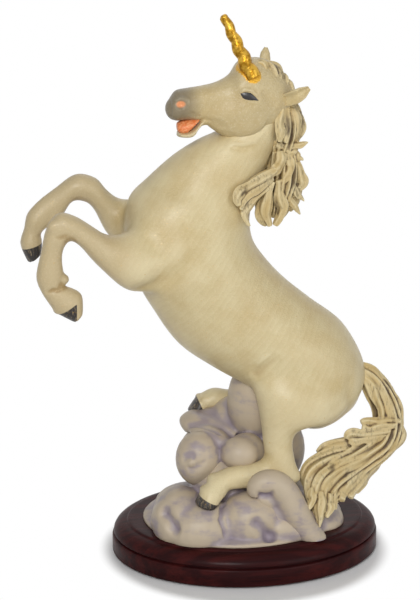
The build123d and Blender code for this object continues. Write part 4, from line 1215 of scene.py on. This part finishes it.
class Finish:
    """The nodes of one procedural material, or of the world."""

    def __init__(self, name, kind="materials"):
        self.owner = getattr(bpy.data, kind).new(name)
        self.owner.use_nodes = True
        self.tree = self.owner.node_tree
        self.tree.nodes.clear()

    def node(self, kind, settings=None, sockets=None, output=0):
        """Adds a node with its settings, then the values or links of its sockets."""
        node = self.tree.nodes.new("ShaderNode" + kind)
        for key, value in (settings or {}).items():
            setattr(node, key, value)
        for key, value in (sockets or {}).items():
            if isinstance(value, Field):
                self.tree.links.new(value.socket, node.inputs[key])
            else:
                node.inputs[key].default_value = value
        return Field(self, node.outputs[output]) if node.outputs else None

    def place(self, turn=(0, 0, 0), stretch=(1, 1, 1), shift=(0, 0, 0)):
        """Object coordinates, moved, turned and stretched."""
        coordinates = self.node("TexCoord", output="Object")
        sockets = {"Vector": coordinates, "Location": shift, "Rotation": turn, "Scale": stretch}
        return self.node("Mapping", {}, sockets)

    def noise(self, place, grain, detail):
        """Soft noise whose patches are about as large as the grain, in metres."""
        sockets = {"Vector": place, "Scale": 1 / grain, "Detail": detail, "Roughness": NOISE_ROUGHNESS}
        return self.node("TexNoise", {}, sockets)

    def stored(self, name):
        """A number kept on the vertices."""
        return self.node("Attribute", {"attribute_name": name}, output="Fac")

    def step(self, value, low, high):
        """A soft step from 0 at the low value to 1 at the high one."""
        sockets = {"Value": value, "From Min": low, "From Max": high}
        return self.node("MapRange", {"interpolation_type": "SMOOTHSTEP"}, sockets)

    def mix(self, share, first, second):
        """From the first colour to the second."""
        return self.node("Mix", {"data_type": "RGBA"}, {0: share, 6: first, 7: second}, output=2)

    def blend(self, field, low, high, first, second):
        """From the first colour to the second as a field goes from the low value to the high one."""
        return self.mix(self.step(field, low, high), colour(*first), colour(*second))

    def layer(self, paint, field, low, high, share, cover):
        """Paint with a share of another colour over it, where a field goes from low to high."""
        return self.mix(self.step(field, low, high) * share, paint, colour(*cover))

    def bump(self, height, distance):
        """A normal from a height."""
        return self.node("Bump", {}, {"Height": height, "Distance": distance})

    def shade(self, **sockets):
        """The surface itself, with its sockets given by name, where an underscore stands for a space."""
        named = {key.replace("_", " "): value for key, value in sockets.items()}
        surface = self.node("BsdfPrincipled", {}, named)
        self.node("OutputMaterial", {}, {"Surface": surface})
        return self.owner


def grain_figure(finish):
    """Growth rings round a pith line along the turned X axis, from 0 to 1."""
    place = finish.place(turn=GRAIN_TURN, shift=GRAIN_PITH)
    settings = {"wave_type": "RINGS", "rings_direction": "X", "wave_profile": "SAW"}
    scale = tau / 20 / GRAIN_SPACING
    sockets = {"Vector": place, "Scale": scale, "Distortion": 3.0, "Detail": 2.0, "Detail Scale": 1.5}
    return finish.node("TexWave", settings, sockets)


def ivory_lacquer():
    """Cream paint and satin lacquer on carved wood, with an antique wash in the hollows that is partly
    painted shade, painted highlights on the ridges and in pale speckles, and dark hooves.
    """
    finish = Finish("ivory_lacquer_on_wood")
    place = finish.place()
    hollow = finish.stored("hollow")
    along = finish.place(turn=GRAIN_TURN, stretch=(0.06, 1, 1))
    rings = grain_figure(finish)
    fibres = finish.noise(along, 0.5 * MM, 2)
    patches = finish.noise(place, 14 * MM, 3)
    speckle = finish.noise(place, 0.7 * MM, 3)
    paint = finish.blend(patches, 0.3, 0.7, (200, 180, 132), (212, 197, 154))
    paint = finish.mix(rings * 0.14, paint, colour(172, 146, 98))
    # Darker on the forelegs and the head: partly a darker paint, partly painted shade of these narrow forms
    paint = finish.mix(finish.stored("wash_and_shade") * 0.9, paint, colour(164, 138, 93))
    # Pale speckles painted as the broken highlights of the lacquer
    paint = finish.layer(paint, speckle, 0.5, 0.75, 0.22, (244, 238, 216))
    # Brown antique wash in the hollows, partly painted shade there
    paint = finish.layer(paint, hollow, 0.12, 0.9, 0.6, (150, 114, 62))
    # Paler cream on the ridges as painted highlight
    paint = finish.layer(paint, 0 - hollow, 0.05, 0.5, 0.35, (232, 220, 184))
    paint = finish.layer(paint, finish.stored("muzzle"), 0.05, 0.55, 0.75, (104, 94, 80))
    paint = finish.mix(finish.step(finish.stored("nostril"), 0.05, 0.45), paint, colour(232, 156, 106))
    hoof = finish.step(finish.stored("hoof"), 0.03, 0.25)
    strokes = finish.noise(finish.place(turn=(0, 0.5, 0), stretch=(1, 1, 0.25)), 0.8 * MM, 3)
    horn = finish.blend(strokes, 0.5, 0.68, (44, 40, 38), (128, 112, 88))
    paint = finish.mix(hoof, paint, horn)
    gilt = finish.step(finish.stored("gilt") + speckle * 0.5, 0.3, 0.42)
    paint = finish.mix(gilt, paint, colour(196, 150, 52))
    return finish.shade(
        Base_Color=paint,
        Metallic=gilt,
        Roughness=0.32 + speckle * 0.16,
        Normal=finish.bump(speckle * 0.7 + fibres * 0.3, 0.3 * MM),
        Specular_IOR_Level=0.3,
        Coat_Weight=0.18,
        Coat_Roughness=0.3,
    )


def mane_paint():
    """The same cream on the hair, with a brown and grey wash that fills the grooves, partly painted shade
    there, and painted highlights on the ridges.
    """
    finish = Finish("washed_hair_paint")
    place = finish.place()
    hollow = finish.stored("hollow")
    patches = finish.noise(place, 9 * MM, 3)
    speckle = finish.noise(place, 0.5 * MM, 2)
    wash_and_shade = finish.blend(patches, 0.35, 0.65, (98, 72, 36), (82, 66, 46))
    paint = finish.blend(patches, 0.3, 0.7, (196, 172, 120), (208, 190, 146))
    streaks = finish.noise(finish.place(stretch=(1, 1, 0.3)), 1.1 * MM, 3)
    paint = finish.mix(finish.step(streaks + patches * 0.5, 0.78, 1.0) * 0.55, paint, wash_and_shade)
    # Brown and grey wash in the grooves, partly painted shade there
    paint = finish.mix(finish.step(hollow + speckle * 0.06, 0.02, 0.26) * 0.9, paint, wash_and_shade)
    # Paler cream on the ridges as painted highlight
    paint = finish.layer(paint, 0 - hollow, 0.04, 0.3, 0.6, (230, 216, 174))
    # The darkest paint of the hair, deepened in the grooves as painted shade
    dark = finish.step(finish.stored("dark") + streaks * 0.8 + hollow * 1.5, 0.6, 1.3)
    paint = finish.mix(dark * 0.8, paint, colour(72, 55, 38))
    return finish.shade(
        Base_Color=paint,
        Roughness=0.36 + speckle * 0.18,
        Normal=finish.bump(speckle, 0.08 * MM),
        Specular_IOR_Level=0.25,
        Coat_Weight=0.08,
        Coat_Roughness=0.3,
    )


def gilding():
    """Gold leaf, dark brown in the groove as painted shade."""
    finish = Finish("gilding_with_painted_shade")
    place = finish.place()
    hollow = finish.stored("hollow")
    speckle = finish.noise(place, 0.6 * MM, 3)
    patches = finish.noise(place, 2.2 * MM, 3)
    gold = finish.blend(patches, 0.35, 0.65, (150, 108, 28), (206, 164, 66))
    # Dark brown in the groove as painted shade
    gold = finish.layer(gold, hollow + speckle * 0.05, 0.0, 0.16, 0.95, (56, 34, 8))
    return finish.shade(
        Base_Color=gold,
        Metallic=1.0,
        Roughness=0.2 + speckle * 0.3,
        Normal=finish.bump(speckle * 0.5 + patches * 0.5, 0.15 * MM),
    )


def cloud_paint():
    """Pearly lilac paint with cream brushed over the swells, more on the raised parts as painted highlight,
    and a deeper lilac in the creases as painted shade.
    """
    finish = Finish("pearl_cloud_paint")
    place = finish.place()
    hollow = finish.stored("hollow")
    patches = finish.noise(place, 12 * MM, 4)
    strokes = finish.noise(finish.place(turn=(0, 0.3, 0), stretch=(0.3, 0.3, 1)), 2.4 * MM, 3)
    speckle = finish.noise(place, 0.6 * MM, 2)
    paint = finish.blend(patches, 0.35, 0.65, (158, 146, 148), (172, 160, 156))
    # Cream brushed on in patches, more on the raised parts as painted highlight
    brushed_highlight = finish.step(patches + strokes * 0.6 - hollow * 0.5, 0.72, 1.05)
    paint = finish.mix(brushed_highlight * 0.7, paint, colour(198, 182, 152))
    # Deeper lilac in the creases as painted shade
    paint = finish.layer(paint, hollow, 0.1, 1.1, 0.7, (130, 119, 134))
    return finish.shade(
        Base_Color=paint,
        Roughness=0.34 + speckle * 0.2,
        Normal=finish.bump(speckle * 0.6 + strokes * 0.4, 0.09 * MM),
        Specular_IOR_Level=0.25,
        Coat_Weight=0.08,
        Coat_Roughness=0.25,
    )


def mahogany():
    """Dark red-brown wood under gloss lacquer."""
    finish = Finish("mahogany_lacquer")
    place = finish.place()
    along = finish.place(turn=(0, 0.08, 0.12), stretch=(0.05, 1, 1))
    fibres = finish.noise(along, 0.8 * MM, 4)
    bands = finish.noise(along, 4 * MM, 2)
    speckle = finish.noise(place, 0.9 * MM, 2)
    wood = finish.blend(bands, 0.35, 0.7, (40, 13, 14), (62, 21, 20))
    wood = finish.layer(wood, fibres, 0.5, 0.75, 0.5, (22, 8, 9))
    return finish.shade(
        Base_Color=wood,
        Roughness=0.3 + speckle * 0.2,
        Normal=finish.bump(fibres * 0.4 + speckle * 0.6, 0.08 * MM),
        Specular_IOR_Level=0.05,
        Coat_Weight=0.04,
        Coat_Roughness=0.15,
    )


def gloss_black():
    """Black eye paint."""
    finish = Finish("eye_paint")
    speckle = finish.noise(finish.place(), 0.5 * MM, 2)
    paint = finish.mix(speckle, colour(16, 14, 14), colour(34, 30, 30))
    return finish.shade(Base_Color=paint, Roughness=0.3 + speckle * 0.1, Coat_Weight=0.15, Coat_Roughness=0.1)


def mouth_paint():
    """Orange and salmon paint inside the mouth."""
    finish = Finish("mouth_paint")
    speckle = finish.noise(finish.place(), 0.9 * MM, 3)
    paint = finish.blend(speckle, 0.35, 0.7, (224, 120, 62), (238, 164, 112))
    relief = finish.bump(speckle, 0.08 * MM)
    return finish.shade(Base_Color=paint, Roughness=0.4 + speckle * 0.2, Normal=relief)


def felt():
    """Dark green felt."""
    finish = Finish("felt")
    fibres = finish.noise(finish.place(), 0.3 * MM, 4)
    paint = finish.blend(fibres, 0.35, 0.65, (24, 40, 30), (52, 72, 58))
    return finish.shade(
        Base_Color=paint,
        Roughness=0.8 + fibres * 0.2,
        Normal=finish.bump(fibres, 0.2 * MM),
        Sheen_Weight=0.3,
    )


def beech():
    """Plain beech dowels."""
    finish = Finish("beech")
    fibres = finish.noise(finish.place(stretch=(1, 1, 0.1)), 0.5 * MM, 3)
    wood = finish.blend(fibres, 0.3, 0.7, (196, 158, 110), (220, 188, 142))
    return finish.shade(Base_Color=wood, Roughness=0.5 + fibres * 0.2, Normal=finish.bump(fibres, 0.05 * MM))


def bright_steel():
    """Zinc-plated steel."""
    finish = Finish("bright_steel")
    scratches = finish.noise(finish.place(stretch=(1, 1, 6)), 1.2 * MM, 3)
    metal = finish.mix(scratches, colour(150, 152, 156), colour(196, 198, 200))
    return finish.shade(
        Base_Color=metal,
        Metallic=1.0,
        Roughness=0.24 + scratches * 0.2,
        Normal=finish.bump(scratches, 0.02 * MM),
    )


def coat(piece, material):
    """Gives a piece its finish."""
    piece.data.materials.clear()
    piece.data.materials.append(material)


ivory, hair_paint, gold, cloud = ivory_lacquer(), mane_paint(), gilding(), cloud_paint()
eye_black = gloss_black()
DRESSED = (
    (body, ivory, "ivory_lacquer",
     ("torso", "neck", "near_foreleg", "far_foreleg", "near_hind_leg", "far_hind_leg")),
    (head, ivory, "ivory_lacquer", ("head",)),
    (near_eye, eye_black, "ivory_lacquer", ()),
    (far_eye, eye_black, "ivory_lacquer", ()),
    (mouth, mouth_paint(), "ivory_lacquer", ()),
    (near_ear, ivory, "ivory_lacquer", ("near_ear",)),
    (far_ear, ivory, "ivory_lacquer", ("far_ear",)),
    (horn, gold, "gilding", ("horn",)),
    (forelock, hair_paint, "mane_paint", ("forelock",)),
    (upper_mane, hair_paint, "mane_paint", ("upper_mane",)),
    (lower_mane, hair_paint, "mane_paint", ("lower_mane",)),
    (neck_locks, hair_paint, "mane_paint", ("mane_locks",)),
    (tail, hair_paint, "mane_paint", ("tail",)),
    (mound, cloud, "cloud_paint", ("cloud_mound",)),
    (crest, cloud, "cloud_paint", ("cloud_crest",)),
    (scroll, cloud, "cloud_paint", ("cloud_scroll",)),
    (plinth, mahogany(), "plinth_lacquer", ("plinth",)),
)
for piece, material, slot, nodes in DRESSED:
    coat(piece, material)
    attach(piece, "root")
    if nodes:
        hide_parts(*nodes)

# The hidden joinery and the felt keep their own solids
KEPT = (
    (felt(), ("felt_pad",)),
    (bright_steel(), ("plinth_screws", "hoof_pins")),
    (beech(), (
        "neck_dowel", "head_dowel", "foreleg_dowels", "hind_leg_dowels", "tail_dowel", "cloud_dowels")),
)
for material, nodes in KEPT:
    for node in nodes:
        coat(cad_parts[node], material)


# Camera, light and floor

# Lamps: name, place, size and power
LIGHTS = (
    ("key", (-0.42, -1.35, 0.9), 0.5, 14.5),
    ("fill", (0.9, -1.2, 0.45), 0.9, 5.0),
    ("rim", (0.4, 1.2, 1.3), 1.0, 3.0),
)
AMBIENT = 0.17
WHITE = (1, 1, 1, 1)
# The rays that see the white background
BACKGROUND_RAYS = ("Is Camera Ray", "Is Glossy Ray", "Is Transmission Ray")
FLOOR_SIZE = 6.0
FLOOR_COLOUR = (0.93, 0.93, 0.93, 1)
# How far from the middle the shadow fades to plain white
FLOOR_WHITE_FROM = 0.059
FLOOR_WHITE_TO = 0.067


def set_camera():
    """The camera at the photograph's viewing angle."""
    clear_selection()
    bpy.ops.object.camera_add(location=EYE, rotation=BACKWARD.to_track_quat("Z", "Y").to_euler())
    camera = bpy.context.object
    camera.data.lens = LENS
    camera.data.sensor_width = SENSOR
    bpy.context.scene.camera = camera


def set_lights():
    """Soft boxes round the object."""
    for name, place, size, power in LIGHTS:
        aim = Vector(place) - VIEW_TARGET
        clear_selection()
        bpy.ops.object.light_add(type="AREA", location=place, rotation=aim.to_track_quat("Z", "Y").to_euler())
        light = bpy.context.object
        light.name = name
        light.data.size = size
        light.data.energy = power


def sees_background(finish):
    """Above 0 for rays that see the white background, and 0 for those that light the object."""
    return sum(finish.node("LightPath", output=kind) for kind in BACKGROUND_RAYS)


def set_world():
    """White where it is seen, and a plain ambient light elsewhere."""
    finish = Finish("studio", "worlds")
    dim = finish.node("Background", {}, {"Color": WHITE, "Strength": AMBIENT})
    bright = finish.node("Background", {}, {"Color": WHITE, "Strength": 1.0})
    surface = finish.node("MixShader", {}, {0: sees_background(finish), 1: dim, 2: bright})
    finish.node("OutputWorld", {}, {"Surface": surface})
    bpy.context.scene.world = finish.owner


def set_floor():
    """A white floor that keeps the object's shadow close by and fades to plain white further out."""
    clear_selection()
    bpy.ops.mesh.primitive_plane_add(size=FLOOR_SIZE)
    floor = bpy.context.object
    floor.name = "floor"
    finish = Finish("white_floor")
    away = finish.node("VectorMath", {"operation": "LENGTH"}, {0: finish.place()}, output="Value")
    matt = finish.node("BsdfDiffuse", {}, {"Color": FLOOR_COLOUR})
    white = finish.node("Emission", {}, {"Color": WHITE, "Strength": 1.0})
    share = finish.step(away, FLOOR_WHITE_FROM, FLOOR_WHITE_TO) * sees_background(finish)
    surface = finish.node("MixShader", {}, {0: share, 1: matt, 2: white})
    finish.node("OutputMaterial", {}, {"Surface": surface})
    floor.data.materials.append(finish.owner)


set_camera()
set_lights()
set_world()
set_floor()
bpy.context.scene.view_settings.view_transform = "Standard"
